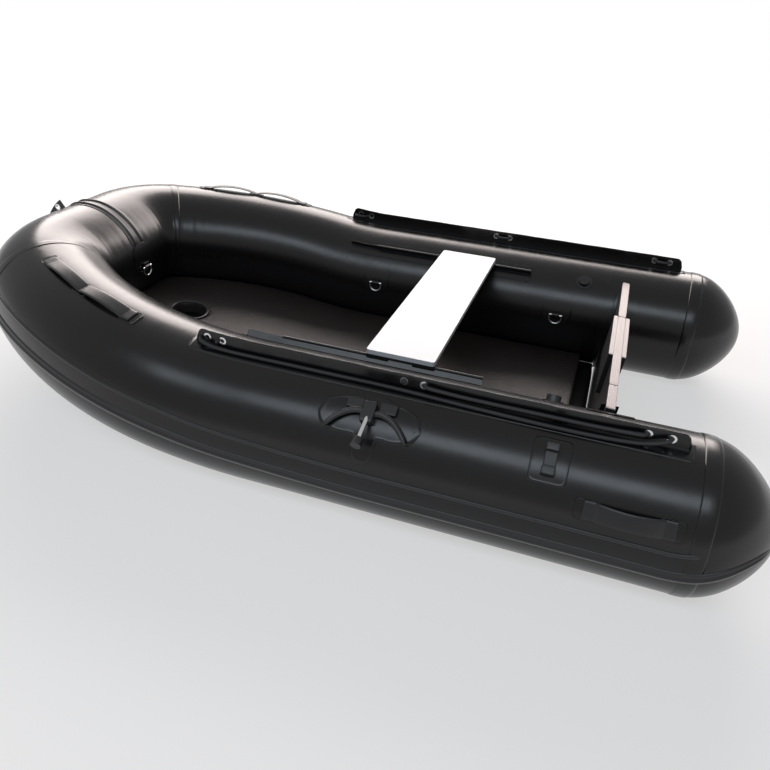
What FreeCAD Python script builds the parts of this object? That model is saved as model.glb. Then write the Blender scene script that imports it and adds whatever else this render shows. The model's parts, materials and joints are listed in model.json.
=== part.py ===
"""A 2.4 m inflatable boat with an air floor, a plywood transom and one sliding bench.

The frame is right-handed: X forward to the bow, Y to port, Z up. The origin is at the middle of
the boat's overall box, on the ground. Most pieces follow the air tube, so they are laid out by a
station, the distance forward along the tube's centreline from the stern tip, and by an angle round
the tube: 0 degrees faces outboard, 90 is the top and 180 faces the cockpit.
"""
import FreeCAD, Part

import math
import os

from FreeCAD import Placement, Rotation, Vector

# Driving dimensions, in millimetres and degrees.
SIZES = [
    # hull and air tubes
    ("overall_length", 2400, "stern tip to the front of the bow tube"),
    ("tube_radius", 190, "outside of the inflated tube"),
    ("tube_spread", 525, "side tube's centreline to the middle of the boat"),
    ("sheer_radius", 1600, "upward curve where the bow starts to rise"),
    ("bow_rise", 7.8, "slope of the bow above the ground"),
    ("shoulder_radius", 1050, "gentle inward bend ahead of the straight sides"),
    ("shoulder_turn", 36, "how far the shoulder turns"),
    ("corner_radius", 230, "tight bend into the bow"),
    ("cone_length", 190, "tapered end of each side tube"),
    ("cone_tip_radius", 45, "flat end of the cone"),
    ("cone_edge", 62, "rounding between the cone and its flat end"),
    ("glue_gap", 0.3, "between a glued piece and its neighbour"),
    ("patch_wall", 2, "thickness of a glued patch"),
    # rub strakes
    ("strake_width", 26, "large lower strake, round the tube"),
    ("strake_depth", 9, "how far the large strake stands out"),
    ("strake_angle", -11, "middle of the large strake"),
    ("bead_width", 9, "small upper strake, round the tube"),
    ("bead_depth", 4, "how far the small strake stands out"),
    ("bead_angle", 8, "middle of the small strake"),
    # floor and bottom
    ("floor_aft", 500, "aft edge of the air floor, from the stern tip"),
    ("floor_drop", 100, "top of the air floor below the tube's centreline"),
    ("floor_depth", 50, "thickness of the air floor"),
    ("well_ahead", 1857, "middle of the floor's valve well, from the stern tip"),
    ("well_radius", 62, "valve well in the floor"),
    ("valve_radius", 26, "inflation valve"),
    ("valve_depth", 14, "height of an inflation valve"),
    ("bottom_drop", 168, "where the bottom meets the tube, below its centreline"),
    ("keel_clearance", 5, "keel line above the ground"),
    ("keel_rise_start", 1350, "where the keel line starts to rise, from the stern tip"),
    # transom
    ("transom_ahead", 404, "middle of the transom's top edge, from the stern tip"),
    ("transom_top", 357, "top edge of the transom"),
    ("transom_foot", 10, "lower edge of the transom"),
    ("transom_wall", 22, "thickness of the board"),
    ("transom_half_span", 415, "top edge of the board from the middle to its end"),
    ("transom_rake", 5, "lean of the board towards the stern"),
    ("holder_reach", 22, "depth of the tube channel that holds the board"),
    ("holder_lip", 10, "thickness of each lip of that channel"),
    ("holder_patch", 112, "length of the channel's glued base along the tube"),
    ("pad_width", 262, "motor pad across the boat"),
    ("pad_drop", 128, "height of the inner motor pad"),
    ("outer_pad_drop", 205, "height of the outer motor pad"),
    ("pad_wall", 12, "thickness of a motor pad"),
    ("drain_radius", 19, "flange of the drain plug"),
    ("drain_offset", 150, "drain plug to starboard of the middle"),
    # bench and its tracks
    ("bench_ahead", 945, "middle of the bench, from the stern tip"),
    ("bench_width", 188, "bench along the boat"),
    ("bench_half_span", 401, "bench from the middle to its end"),
    ("bench_top", 376, "top of the bench"),
    ("bench_wall", 13, "thickness of the bench"),
    ("bench_corner", 8, "corner radius of the bench, seen from above"),
    ("track_aft", 722, "aft end of the bench track, from the stern tip"),
    ("track_forward", 1405, "forward end of the bench track"),
    ("track_spread", 391, "bead of the track to the middle of the boat"),
    ("track_bead", 4, "radius of the track's bead"),
    ("track_fin", 2.4, "thickness of the track's fin"),
    ("track_base", 60, "glued base of the track, round the tube"),
    ("clip_clearance", 0.6, "bench clip round the bead"),
    ("clip_wall", 4, "wall of the bench clip"),
    ("clip_length", 60, "bench clip along the track"),
    # lifelines
    ("lifeline_aft", 232, "aft end of the lifeline strip, from the stern tip"),
    ("lifeline_forward", 1473, "forward end of the lifeline strip"),
    ("lifeline_spread", 558, "fin of the strip to the middle of the boat"),
    ("fin_height", 43, "top of the strip's fin above the tube's skin"),
    ("fin_wall", 4, "thickness of the strip's fin"),
    ("strip_base", 56, "glued base of the strip, round the tube"),
    ("eyelet_height", 403, "eyelets above the ground"),
    ("eyelet_gap", 50, "between the two eyelets of a pair"),
    ("eyelet_ring", 8.5, "ring radius of an eyelet"),
    ("eyelet_wire", 2, "wire radius of an eyelet"),
    ("rope_radius", 5, "lifeline rope"),
    # rings
    ("ring_wire", 3, "wire radius of a D-ring"),
    ("ring_half_width", 21, "half the width of a D-ring"),
    ("ring_leg", 10, "straight side of a D-ring"),
    ("ring_patch", 48, "radius of the round patch under a D-ring"),
    ("loop_width", 26, "webbing loop along the ring's bar"),
    ("loop_wall", 3, "webbing loop round the ring's bar"),
    ("loop_clearance", 0.4, "between the webbing loop and the bar"),
    ("ring_angle", 167, "side rings round the tube"),
    ("ring_drop", 11, "ring below the middle of its patch, round the tube"),
    ("ring_forward", 1271, "forward side ring, from the stern tip"),
    ("ring_aft", 610, "aft side ring, from the stern tip"),
    ("bow_ring_angle", 175, "bow ring round the bow tube"),
    # carrying gear
    ("bow_rib_width", 9, "each rib of the bow chafe strip"),
    ("bow_rib_depth", 6, "height of a rib"),
    ("bow_rib_gap", 34, "between the two ribs, middle to middle"),
    ("bow_strip_width", 62, "bow chafe strip across the boat"),
    ("bow_strip_front", 66, "front end of the chafe strip, round the bow tube"),
    ("bow_strip_rear", 134, "rear end of the chafe strip"),
    ("tow_tab_angle", 33, "middle of the towing tab, round the bow tube"),
    ("tow_tab_span", 27, "length of the towing tab, round the bow tube"),
    ("tow_tab_height", 34, "top of the towing tab above the skin"),
    ("grip_length", 425, "bow quarter handle along the tube"),
    ("grip_end_forward", 2075, "forward end of that handle, station"),
    ("grip_angle", 78, "bow quarter handle round the tube"),
    ("grip_width", 42, "width of a handle strap"),
    ("grip_wall", 3.5, "thickness of a handle strap"),
    ("grip_lift", 17, "room for fingers under a handle"),
    ("grip_pad", 62, "glued end of a handle"),
    ("stern_grip_forward", 446, "forward end of the stern handle, station"),
    ("stern_grip_length", 232, "stern handle along the tube"),
    ("stern_grip_angle", 24, "stern handle round the tube"),
    # oar fittings
    ("oarlock_ahead", 938, "oarlock, station"),
    ("oarlock_angle", 58, "oarlock round the tube"),
    ("oarlock_span", 122, "half length of the oarlock's patch"),
    ("oarlock_low", 36, "lower edge of the oarlock's patch"),
    ("oarlock_high", 71, "upper edge of the oarlock's patch"),
    ("hub_width", 30, "hub of the oarlock along the tube"),
    ("hub_length", 50, "hub of the oarlock round the tube"),
    ("hub_height", 20, "hub of the oarlock above its base"),
    ("arm_radius", 7, "oarlock arm"),
    ("pin_radius", 6, "oarlock pin"),
    ("pin_length", 88, "oarlock pin, its socket included"),
    ("pin_droop", 80, "oarlock pin below the tube's normal"),
    ("knob_radius", 13, "knob on the pin"),
    ("knob_height", 20, "knob along the pin"),
    ("clip_ahead", 514, "oar clip, station"),
    ("clip_angle", 50, "oar clip round the tube"),
    ("clip_patch_length", 84, "oar clip's patch along the tube"),
    ("clip_patch_angle", 32, "oar clip's patch round the tube"),
    ("clip_body_width", 30, "oar clip along the tube"),
    ("clip_body_length", 78, "oar clip round the tube"),
    ("clip_body_height", 15, "oar clip above its patch"),
    ("tube_valve_ahead", 540, "tube inflation valve, station"),
    ("tube_valve_angle", 128, "tube inflation valve round the tube"),
]

doc = FreeCAD.newDocument("inflatable_boat")
sheet = doc.addObject("Spreadsheet::Sheet", "Sizes")
for row, (alias, value, note) in enumerate(SIZES, start=1):
    sheet.set(f"A{row}", alias)
    sheet.set(f"B{row}", str(value))
    sheet.set(f"C{row}", note)
    sheet.setAlias(f"B{row}", alias)
doc.recompute()


def size(alias):
    """A driving dimension, read from the sheet."""
    return float(sheet.get(alias))


R = size("tube_radius")
RAKE = size("transom_rake")
BOARD = size("transom_wall")
GAP = size("glue_gap")
SKIN = R + GAP
TAB_LOW = math.radians(size("tow_tab_angle") - size("tow_tab_span") / 2 + size("bow_rise"))
TAB_REACH = (R + size("tow_tab_height")) * math.cos(TAB_LOW) - R
STERN = -(size("overall_length") + max(0, TAB_REACH)) / 2
FORE = Vector(1, 0, 0)
PORT = Vector(0, 1, 0)
UP = Vector(0, 0, 1)


# ---------------------------------------------------------------------------- the tube's path
class Run:
    """The port tube's centreline: straight side, sheer, shoulder, corner and half the bow."""

    def __init__(self):
        rise = math.radians(size("bow_rise"))
        turn = math.radians(size("shoulder_turn"))
        shoulder = size("shoulder_radius")
        corner = size("corner_radius")
        reach = shoulder * math.sin(turn) + corner * (1 - math.sin(turn))
        straight = (size("overall_length") - R - reach * math.cos(rise)
                    - size("sheer_radius") * math.sin(rise))
        self.half_bow = (size("tube_spread") - shoulder * (1 - math.cos(turn))
                         - corner * math.cos(turn))
        plan = [
            ("straight", straight, 0),
            ("sheer", size("sheer_radius") * rise, size("sheer_radius")),
            ("turn", shoulder * turn, shoulder),
            ("turn", corner * (math.pi / 2 - turn), corner),
            ("straight", self.half_bow, 0),
        ]
        station = 0.0
        frame = (Vector(STERN, size("tube_spread"), R), FORE, PORT, UP)
        self.legs = []
        for kind, length, radius in plan:
            self.legs.append((kind, station, length, radius, frame))
            frame = self.advance(kind, radius, frame, length)
            station += length
        self.end = station
        self.rise_start = self.legs[1][1]
        self.shoulder_start = self.legs[2][1]
        self.corner_start = self.legs[3][1]

    @staticmethod
    def advance(kind, radius, frame, distance):
        """Move a frame (point, along, out, up) this far along a leg."""
        point, along, out, up = frame
        if kind == "straight":
            return (point + along * distance, along, out, up)
        angle = distance / radius
        turned = along * math.cos(angle)
        if kind == "sheer":
            moved = point + along * (radius * math.sin(angle)) + up * (radius * (1 - math.cos(angle)))
            return (moved, turned + up * math.sin(angle), out,
                    up * math.cos(angle) - along * math.sin(angle))
        moved = point + along * (radius * math.sin(angle)) - out * (radius * (1 - math.cos(angle)))
        return (moved, turned - out * math.sin(angle),
                out * math.cos(angle) + along * math.sin(angle), up)

    def frame(self, station):
        """Point and directions (along, out, up) of the centreline at a station."""
        for kind, start, length, radius, frame in self.legs:
            if station <= start + length or start + length >= self.end:
                return self.advance(kind, radius, frame, station - start)

    def piece(self, profile, low, high):
        """One solid: a profile, drawn by a function of the frame, swept between two stations.

        A piece that passes the middle of the bow carries on down the starboard half.
        """
        if high > self.end + 1e-6:
            beyond = self.piece(profile, 2 * self.end - high, self.end)
            return joined([self.piece(profile, low, self.end), mirrored(beyond)])
        solids = []
        for kind, start, length, radius, frame in self.legs:
            first = max(low, start)
            last = min(high, start + length)
            if last - first < 1e-6:
                continue
            local = self.advance(kind, radius, frame, first - start)
            point, along, out, up = local
            face = profile(local)
            if kind == "straight":
                solids.append(face.extrude(along * (last - first)))
            elif kind == "sheer":
                solids.append(face.revolve(point + up * radius, -out,
                                           math.degrees((last - first) / radius)))
            else:
                solids.append(face.revolve(point - out * radius, -up,
                                           math.degrees((last - first) / radius)))
        return joined(solids)

    def seat(self, station, angle, height=0.0):
        """Placement on the skin: X along the tube, Y down its side, Z straight out of it."""
        point, along, out, up = self.frame(station)
        turn = math.radians(angle)
        normal = out * math.cos(turn) + up * math.sin(turn)
        base = point + normal * (R + height)
        return Placement(base, Rotation(along, normal.cross(along), normal, "ZXY"))


def joined(solids):
    """Solids that share faces, as one solid with no seams inside it."""
    if len(solids) == 1:
        return solids[0]
    return solids[0].multiFuse(solids[1:]).removeSplitter()


def at(frame, distance, angle):
    """Point this far from the tube's centreline at an angle round it."""
    point, along, out, up = frame
    turn = math.radians(angle)
    return point + (out * math.cos(turn) + up * math.sin(turn)) * distance


def disc(radius):
    """Profile: a full round section."""
    return lambda frame: Part.Face(Part.Wire(Part.makeCircle(radius, frame[0], frame[1])))


def band(inner, outer, low, high):
    """Profile: part of a ring round the tube, between two radii and two angles."""
    def draw(frame):
        middle = (low + high) / 2
        inside = Part.Arc(at(frame, inner, low), at(frame, inner, middle), at(frame, inner, high))
        outside = Part.Arc(at(frame, outer, high), at(frame, outer, middle), at(frame, outer, low))
        sides = [Part.LineSegment(at(frame, inner, high), at(frame, outer, high)),
                 Part.LineSegment(at(frame, outer, low), at(frame, inner, low))]
        edges = [inside.toShape(), sides[0].toShape(), outside.toShape(), sides[1].toShape()]
        return Part.Face(Part.Wire(edges))
    return draw


def arc_degrees(width, radius=None):
    """Angle that a width takes round the tube."""
    return math.degrees(width / (radius or R))


RUN = Run()
PARTS = []


# ---------------------------------------------------------------------------- document helpers
def keep(item, label):
    """Give an object the name of its sub-part and mark it for export."""
    item.Label = label
    PARTS.append(item)
    return item


def shaped(label, shape):
    """A sub-part whose shape follows the tube."""
    item = doc.addObject("Part::Feature", label)
    item.Shape = shape
    return keep(item, label)


def starboard_of(item, label):
    """The mirrored twin of a port piece."""
    twin = doc.addObject("Part::Mirroring", label)
    twin.Source = item
    twin.Normal = PORT
    return keep(twin, label)


def primitive(kind, name, placement, **bindings):
    """A Part primitive at a placement, its sizes bound to the sheet."""
    item = doc.addObject(f"Part::{kind}", name)
    for prop, expression in bindings.items():
        item.setExpression(prop, expression)
    item.Placement = placement
    return item


def fused(name, pieces):
    """Several primitives as one solid."""
    item = doc.addObject("Part::MultiFuse", name)
    item.Shapes = pieces
    item.Refine = True
    return item


def shift(x=0.0, y=0.0, z=0.0):
    """A placement that only moves."""
    return Placement(Vector(x, y, z), Rotation())


def mirrored(shape):
    """The starboard copy of a shape."""
    return shape.mirror(Vector(0, 0, 0), PORT)


# ---------------------------------------------------------------------------- air tubes
CONE_END = size("cone_length")
ARCH = RUN.corner_start

port_tube = shaped("port_tube", RUN.piece(disc(R), CONE_END, ARCH))
starboard_of(port_tube, "starboard_tube")
bow_half = RUN.piece(disc(R), ARCH, RUN.end)
shaped("bow_tube", joined([bow_half, mirrored(bow_half)]))


def stern_cone():
    """Tapered end of the side tube: a bulged cone with a rounded rim and a small flat end."""
    tip = size("cone_tip_radius")
    edge = size("cone_edge")
    rim = Vector(edge * 0.42, 0, tip + edge)
    points = [Vector(CONE_END, 0, R), Vector(CONE_END * 0.55, 0, R * 0.83), rim]
    nose = Vector(edge * 0.1, 0, tip + edge * 0.55)
    flat = Vector(0, 0, tip)
    edges = [
        Part.LineSegment(Vector(0, 0, 0), Vector(CONE_END, 0, 0)).toShape(),
        Part.LineSegment(Vector(CONE_END, 0, 0), points[0]).toShape(),
        Part.Arc(*points).toShape(),
        Part.Arc(rim, nose, flat).toShape(),
        Part.LineSegment(flat, Vector(0, 0, 0)).toShape(),
    ]
    solid = Part.Face(Part.Wire(edges)).revolve(Vector(0, 0, 0), FORE, 360)
    solid.translate(Vector(STERN, size("tube_spread"), R))
    return solid


port_cone = shaped("port_stern_cone", stern_cone())
starboard_of(port_cone, "starboard_stern_cone")


def strake():
    """The two rubbing strakes, all the way round the boat."""
    lower = arc_degrees(size("strake_width")) / 2
    upper = arc_degrees(size("bead_width")) / 2
    solids = []
    for angle, half, depth in (
        (size("strake_angle"), lower, size("strake_depth")),
        (size("bead_angle"), upper, size("bead_depth")),
    ):
        side = RUN.piece(band(SKIN, SKIN + depth, angle - half, angle + half), CONE_END, RUN.end)
        solids.append(joined([side, mirrored(side)]))
    return Part.makeCompound(solids)


shaped("rub_strakes", strake())

# The space that the tubes take, grown by what is glued between: used to fit the inside pieces.
# The tool starts at the stern tip, so that the transom meets it too.
def tube_space(radius):
    """Both side tubes and the bow, grown to a radius."""
    half = RUN.piece(disc(radius), 0, RUN.end)
    return joined([half, mirrored(half)])


# ---------------------------------------------------------------------------- floor and bottom
def keel_profile(drop_top, drop_low, start):
    """Side view of a slab that keeps two distances below the tube's centreline."""
    rise = math.radians(size("bow_rise"))
    radius = size("sheer_radius")
    knee = STERN + RUN.rise_start
    centre = Vector(knee, 0, R + radius)
    ahead = (size("shoulder_radius") * math.sin(math.radians(size("shoulder_turn")))
             + size("corner_radius") * (1 - math.sin(math.radians(size("shoulder_turn")))))

    def below(drop, angle):
        return centre + Vector(math.sin(angle), 0, -math.cos(angle)) * (radius + drop)

    def end(drop):
        return below(drop, rise) + Vector(math.cos(rise), 0, math.sin(rise)) * ahead

    def back(drop):
        return Vector(STERN + start, 0, R - drop)

    edges = [
        Part.LineSegment(back(drop_top), below(drop_top, 0)).toShape(),
        Part.Arc(below(drop_top, 0), below(drop_top, rise / 2), below(drop_top, rise)).toShape(),
        Part.LineSegment(below(drop_top, rise), end(drop_top)).toShape(),
        Part.LineSegment(end(drop_top), end(drop_low)).toShape(),
        Part.LineSegment(end(drop_low), below(drop_low, rise)).toShape(),
        Part.Arc(below(drop_low, rise), below(drop_low, rise / 2), below(drop_low, 0)).toShape(),
        Part.LineSegment(below(drop_low, 0), back(drop_low)).toShape(),
        Part.LineSegment(back(drop_low), back(drop_top)).toShape(),
    ]
    return Part.Face(Part.Wire(edges))


def inner_part(solid, space):
    """What is left of a solid between the tubes."""
    return max(solid.cut(space).Solids, key=lambda body: body.Volume)


SPACE = tube_space(SKIN)
FLOOR_TOP = size("floor_drop")
FLOOR_LOW = FLOOR_TOP + size("floor_depth")


def floor_height(ahead, drop):
    """Height above the ground, this far below the tube's centreline, by distance from the stern."""
    rise = math.radians(size("bow_rise"))
    radius = size("sheer_radius") + drop
    forward = ahead - RUN.rise_start
    if forward <= 0:
        return R - drop
    if forward < radius * math.sin(rise):
        return R - drop + radius - math.sqrt(radius ** 2 - forward ** 2)
    bend = R - drop + radius * (1 - math.cos(rise))
    return bend + (forward - radius * math.sin(rise)) * math.tan(rise)


def air_floor():
    """Drop-stitch floor, with a round well over the keel's inflation valve."""
    spread = size("tube_spread")
    slab = keel_profile(FLOOR_TOP, FLOOR_LOW, size("floor_aft")).extrude(PORT * (2 * spread))
    slab.translate(PORT * -spread)
    slab = inner_part(slab, SPACE)
    well = Part.makeCylinder(size("well_radius"), R, Vector(STERN + size("well_ahead"), 0, R / 3))
    well.translate(UP * (floor_height(size("well_ahead"), FLOOR_TOP) - R))
    return slab.cut(well)


shaped("air_floor", air_floor())


def bottom():
    """V-bottom with the keel chamber: flat-panelled below, and up to the floor above."""
    spread = size("tube_spread")
    seam = spread - math.sqrt(R ** 2 - size("bottom_drop") ** 2)
    first = (size("transom_ahead") + GAP + size("transom_wall") / 2
             + (size("transom_top") - size("transom_foot")) * math.tan(math.radians(RAKE)))
    last = size("overall_length") - R
    count = 9
    rise_start = size("keel_rise_start")
    sections = []
    for index in range(count):
        ahead = first + (last - first) * index / (count - 1)
        side = floor_height(ahead, size("bottom_drop"))
        share = max(0.0, (ahead - rise_start) / (last - rise_start))
        keel = size("keel_clearance") + (side - size("keel_clearance")) * share ** 1.6
        edge = keel + (side - keel) * spread / seam
        top = floor_height(ahead, FLOOR_LOW) - GAP
        x = STERN + ahead
        points = [Vector(x, -spread, edge), Vector(x, 0, keel), Vector(x, spread, edge),
                  Vector(x, spread, top), Vector(x, -spread, top)]
        sections.append(Part.makePolygon(points + points[:1]))
    block = Part.makeLoft(sections, True, True)
    slab = keel_profile(FLOOR_LOW + GAP, size("tube_radius") * 1.2, first - 50)
    under = slab.extrude(PORT * (2 * spread))
    under.translate(PORT * -spread)
    return inner_part(block.common(under), SPACE)


shaped("hull_bottom", bottom())

# ---------------------------------------------------------------------------- inflation valves
well_seat = Placement(
    Vector(STERN + size("well_ahead"), 0, floor_height(size("well_ahead"), FLOOR_LOW)),
    Rotation(PORT, -size("bow_rise")))
keel_valve = fused("keel_valve_body", [
    primitive("Cylinder", "keel_valve_flange", well_seat,
              Radius="Sizes.valve_radius", Height="Sizes.valve_depth / 2"),
    primitive("Cylinder", "keel_valve_cap", well_seat,
              Radius="Sizes.valve_radius * 0.7", Height="Sizes.valve_depth"),
])
keep(keel_valve, "keel_valve")


def skin_shell(low, high, start, finish, inner, wall):
    """A curved sheet that lies on the tube."""
    return RUN.piece(band(inner, inner + wall, low, high), start, finish)


def round_patch(station, angle, radius):
    """A round glued patch on the tube."""
    half = arc_degrees(radius) * 1.3
    sheet_piece = skin_shell(angle - half, angle + half, station - radius * 1.3,
                             station + radius * 1.3, SKIN, size("patch_wall"))
    punch = Part.makeCylinder(radius, 2 * R)
    punch.Placement = RUN.seat(station, angle, -R / 2)
    return sheet_piece.common(punch)


def tube_valve():
    """Inflation valve on the cockpit side of the tube: a flange and a cap."""
    station = size("tube_valve_ahead")
    angle = size("tube_valve_angle")
    flange = round_patch(station, angle, size("valve_radius"))
    cap = Part.makeCylinder(size("valve_radius") * 0.7, size("valve_depth") + 2)
    cap.Placement = RUN.seat(station, angle, GAP)
    trim = RUN.piece(disc(SKIN), station - R / 2, station + R / 2)
    return joined([flange, cap.cut(trim)])


valve = shaped("port_tube_valve", tube_valve())
starboard_of(valve, "starboard_tube_valve")

# ---------------------------------------------------------------------------- transom


def raked(x, z):
    """Placement in the board's frame: its middle plane, X through it, Z up it from the top edge."""
    pivot = Vector(STERN + size("transom_ahead"), 0, size("transom_top"))
    turn = Rotation(PORT, -RAKE)
    return Placement(pivot + turn.multVec(Vector(x, 0, z)), turn)


def raked_box(wall, low, high, half_span):
    """A box in the board's frame, centred on its middle plane."""
    solid = Part.makeBox(wall, 2 * half_span, high - low, Vector(-wall / 2, -half_span, low))
    solid.Placement = raked(0, 0)
    return solid


CHANNEL = SKIN + size("patch_wall")
DEPTH = (size("transom_top") - size("transom_foot")) / math.cos(math.radians(RAKE))


def transom():
    """The board, cut to the curve of the tubes."""
    blank = raked_box(BOARD, -DEPTH, 0, size("transom_half_span"))
    return inner_part(blank, tube_space(CHANNEL + GAP))


shaped("transom_board", transom())


def transom_holder():
    """Glued channel on the side tube: a base patch and a lip on each face of the board."""
    middle = size("transom_ahead")
    half = size("holder_patch") / 2
    base = skin_shell(112, 224, middle - half, middle + half, SKIN, size("patch_wall"))
    ring = RUN.piece(band(CHANNEL - 0.5, CHANNEL + size("holder_reach"), 116, 222),
                     middle - half, middle + half)
    lips = ring.common(raked_box(BOARD + 2 * GAP + 2 * size("holder_lip"), -2 * R, R, 2 * R))
    lips = lips.cut(raked_box(BOARD + 2 * GAP, -2 * R, R, 2 * R))
    return joined([base] + lips.Solids)


holder = shaped("port_transom_holder", transom_holder())
starboard_of(holder, "starboard_transom_holder")


def motor_pad(label, side, drop):
    """A plate on one face of the board, its top edge level with the board's."""
    pad = primitive("Box", label, Placement(), Length="Sizes.pad_wall", Width="Sizes.pad_width",
                    Height=drop)
    offset = side * (BOARD / 2 + GAP) - (size("pad_wall") if side < 0 else 0)
    pad.Placement = raked(0, 0).multiply(
        Placement(Vector(offset, -size("pad_width") / 2, -size(drop.split(".")[1])), Rotation()))
    return keep(pad, label)


motor_pad("inner_motor_pad", 1, "Sizes.pad_drop")
motor_pad("outer_motor_pad", -1, "Sizes.outer_pad_drop")


def drain_plug():
    """Drain flange low on the aft face of the board."""
    place = raked(-(BOARD / 2 + GAP), -DEPTH + 55)
    place = Placement(place.Base + PORT * -size("drain_offset"), place.Rotation)
    place = place.multiply(Placement(Vector(0, 0, 0), Rotation(PORT, -90)))
    parts = [
        primitive("Cylinder", "drain_flange", place, Radius="Sizes.drain_radius", Height="4"),
        primitive("Cylinder", "drain_cap", place, Radius="Sizes.drain_radius * 0.6", Height="14"),
    ]
    keep(fused("drain_plug_body", parts), "drain_plug")


drain_plug()


# ---------------------------------------------------------------------------- bench and tracks
BEAD = size("track_bead")
BEAD_Z = (size("bench_top") - size("bench_wall") - GAP - size("clip_wall")
          - size("clip_clearance") - BEAD)


def track_foot():
    """Angle round the tube where the fin of the track leaves the skin."""
    across = size("tube_spread") - size("track_spread")
    reach = math.hypot(across, BEAD_Z - R)
    return 180 - math.degrees(math.atan2(BEAD_Z - R, across)), reach


def bench_track():
    """Bench track: a glued base, a fin and a bead along the fin's edge."""
    angle, reach = track_foot()
    half = arc_degrees(size("track_base")) / 2
    first = size("track_aft")
    last = size("track_forward")
    lean = math.degrees(math.asin(size("track_fin") / 2 / reach))
    base = RUN.piece(band(SKIN, SKIN + size("patch_wall"), angle - half, angle + half), first, last)
    fin = RUN.piece(band(SKIN, reach, angle - lean, angle + lean), first, last)

    def bead(frame):
        return Part.Face(Part.Wire(Part.makeCircle(BEAD, at(frame, reach, angle), frame[1])))

    return joined([base, fin, RUN.piece(bead, first, min(last, RUN.rise_start))])


track = shaped("port_bench_track", bench_track())
starboard_of(track, "starboard_bench_track")


def bench():
    """The bench board, its four corners rounded."""
    board = primitive(
        "Box", "bench_blank",
        shift(STERN + size("bench_ahead") - size("bench_width") / 2, -size("bench_half_span"),
              size("bench_top") - size("bench_wall")),
        Length="Sizes.bench_width", Width="2 * Sizes.bench_half_span", Height="Sizes.bench_wall")
    doc.recompute()
    upright = [index for index, edge in enumerate(board.Shape.Edges, start=1)
               if abs(edge.tangentAt(edge.FirstParameter).z) > 0.9]
    rounded = doc.addObject("Part::Fillet", "bench_board")
    rounded.Base = board
    rounded.Edges = [(index, size("bench_corner"), size("bench_corner")) for index in upright]
    return keep(rounded, "bench_board")


bench()


def bench_clips():
    """Clips under the bench that wrap the beads of the tracks, open towards the fin."""
    angle = track_foot()[0]
    bore = BEAD + size("clip_clearance")
    outer = bore + size("clip_wall")
    top = size("bench_top") - size("bench_wall") - GAP
    length = size("clip_length")
    solids = []
    for end in (-1, 1):
        station = size("bench_ahead") + end * (size("bench_width") - length) / 2
        x = STERN + station - length / 2
        centre = Vector(x, size("track_spread"), BEAD_Z)
        block = Part.makeBox(length, 2 * outer, top - BEAD_Z, centre - Vector(0, outer, 0))
        round_part = Part.makeCylinder(outer, length, centre, FORE)
        slot = Part.makeBox(length + 2, 4 * outer, size("track_fin") + 2 * size("clip_clearance"))
        slot.translate(Vector(-1, 0, -slot.BoundBox.ZLength / 2))
        slot.rotate(Vector(0, 0, 0), FORE, angle - 180)
        slot.translate(centre)
        body = joined([block, round_part]).cut(Part.makeCylinder(bore, length + 2,
                                                                 centre - FORE, FORE))
        solids.append(body.cut(slot))
    return Part.makeCompound(solids)


clips = shaped("port_bench_clips", bench_clips())
starboard_of(clips, "starboard_bench_clips")


# ---------------------------------------------------------------------------- lifelines
def strip_angle():
    """Angle round the tube of the lifeline fin."""
    return math.degrees(math.acos((size("lifeline_spread") - size("tube_spread")) / R))


def eyelet_stations():
    """Stations of the eyelets: three pairs, near the ends and at the middle of the strip."""
    aft = size("lifeline_aft")
    forward = size("lifeline_forward")
    half = size("eyelet_gap") / 2
    inset = 62
    middles = [aft + inset + 6, (aft + forward) / 2 + 6, forward - inset]
    return [middle + side * half for middle in middles for side in (-1, 1)]


def eyelet_drill(radius):
    """Cylinders through the fin at each eyelet."""
    drills = []
    for station in eyelet_stations():
        point, along, out, up = RUN.frame(station)
        foot = size("eyelet_height") - R
        centre = point + out * (size("lifeline_spread") - size("tube_spread")) + up * foot
        drills.append((centre, Part.makeCylinder(radius, 40, centre - out * 20, out)))
    return drills


def lifeline_strip():
    """Glued base with an upright fin that carries the eyelets."""
    middle = strip_angle()
    half = arc_degrees(size("strip_base")) / 2
    aft = size("lifeline_aft")
    forward = size("lifeline_forward")
    side = size("lifeline_spread") - size("tube_spread")
    wall = size("fin_wall") / 2
    foot = math.sqrt(SKIN ** 2 - (side + wall) ** 2) + 0.1
    top = math.sqrt(R ** 2 - side ** 2) + size("fin_height")

    def fin(frame):
        point, along, out, up = frame
        corners = [(side - wall, foot + 0.9), (side + wall, foot + 0.3), (side + wall, top),
                   (side - wall, top)]
        points = [point + out * a + up * b for a, b in corners]
        return Part.Face(Part.makePolygon(points + points[:1]))

    base = RUN.piece(band(SKIN, SKIN + size("patch_wall"), middle - half, middle + half),
                     aft, forward)
    upright = RUN.piece(fin, aft, forward)
    bore = size("eyelet_ring") - size("eyelet_wire") / 2
    for centre, drill in eyelet_drill(bore):
        upright = upright.cut(drill)
    return joined([base, upright])


strip = shaped("port_lifeline_strip", lifeline_strip())
starboard_of(strip, "starboard_lifeline_strip")


def eyelets():
    """Metal eyelets pressed through the fin."""
    solids = []
    bore = size("eyelet_ring") - size("eyelet_wire") / 2
    for centre, drill in eyelet_drill(bore - 0.05):
        out = PORT
        wall = size("fin_wall") / 2 + 0.2
        wire = size("eyelet_wire")
        inner = bore - 0.05 - wire * 0.9
        sleeve = Part.makeCylinder(bore - 0.05, 2 * wall + wire, centre - out * (wall + wire / 2), out)
        flanges = [Part.makeCylinder(size("eyelet_ring") + wire, wire * 0.75,
                                     centre + out * (wall if side > 0 else -wall - wire * 0.75), out)
                   for side in (-1, 1)]
        body = joined([sleeve] + flanges)
        solids.append(body.cut(Part.makeCylinder(inner, 60, centre - out * 30, out)))
    return Part.makeCompound(solids)


rings = shaped("port_eyelets", eyelets())
starboard_of(rings, "starboard_eyelets")


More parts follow.
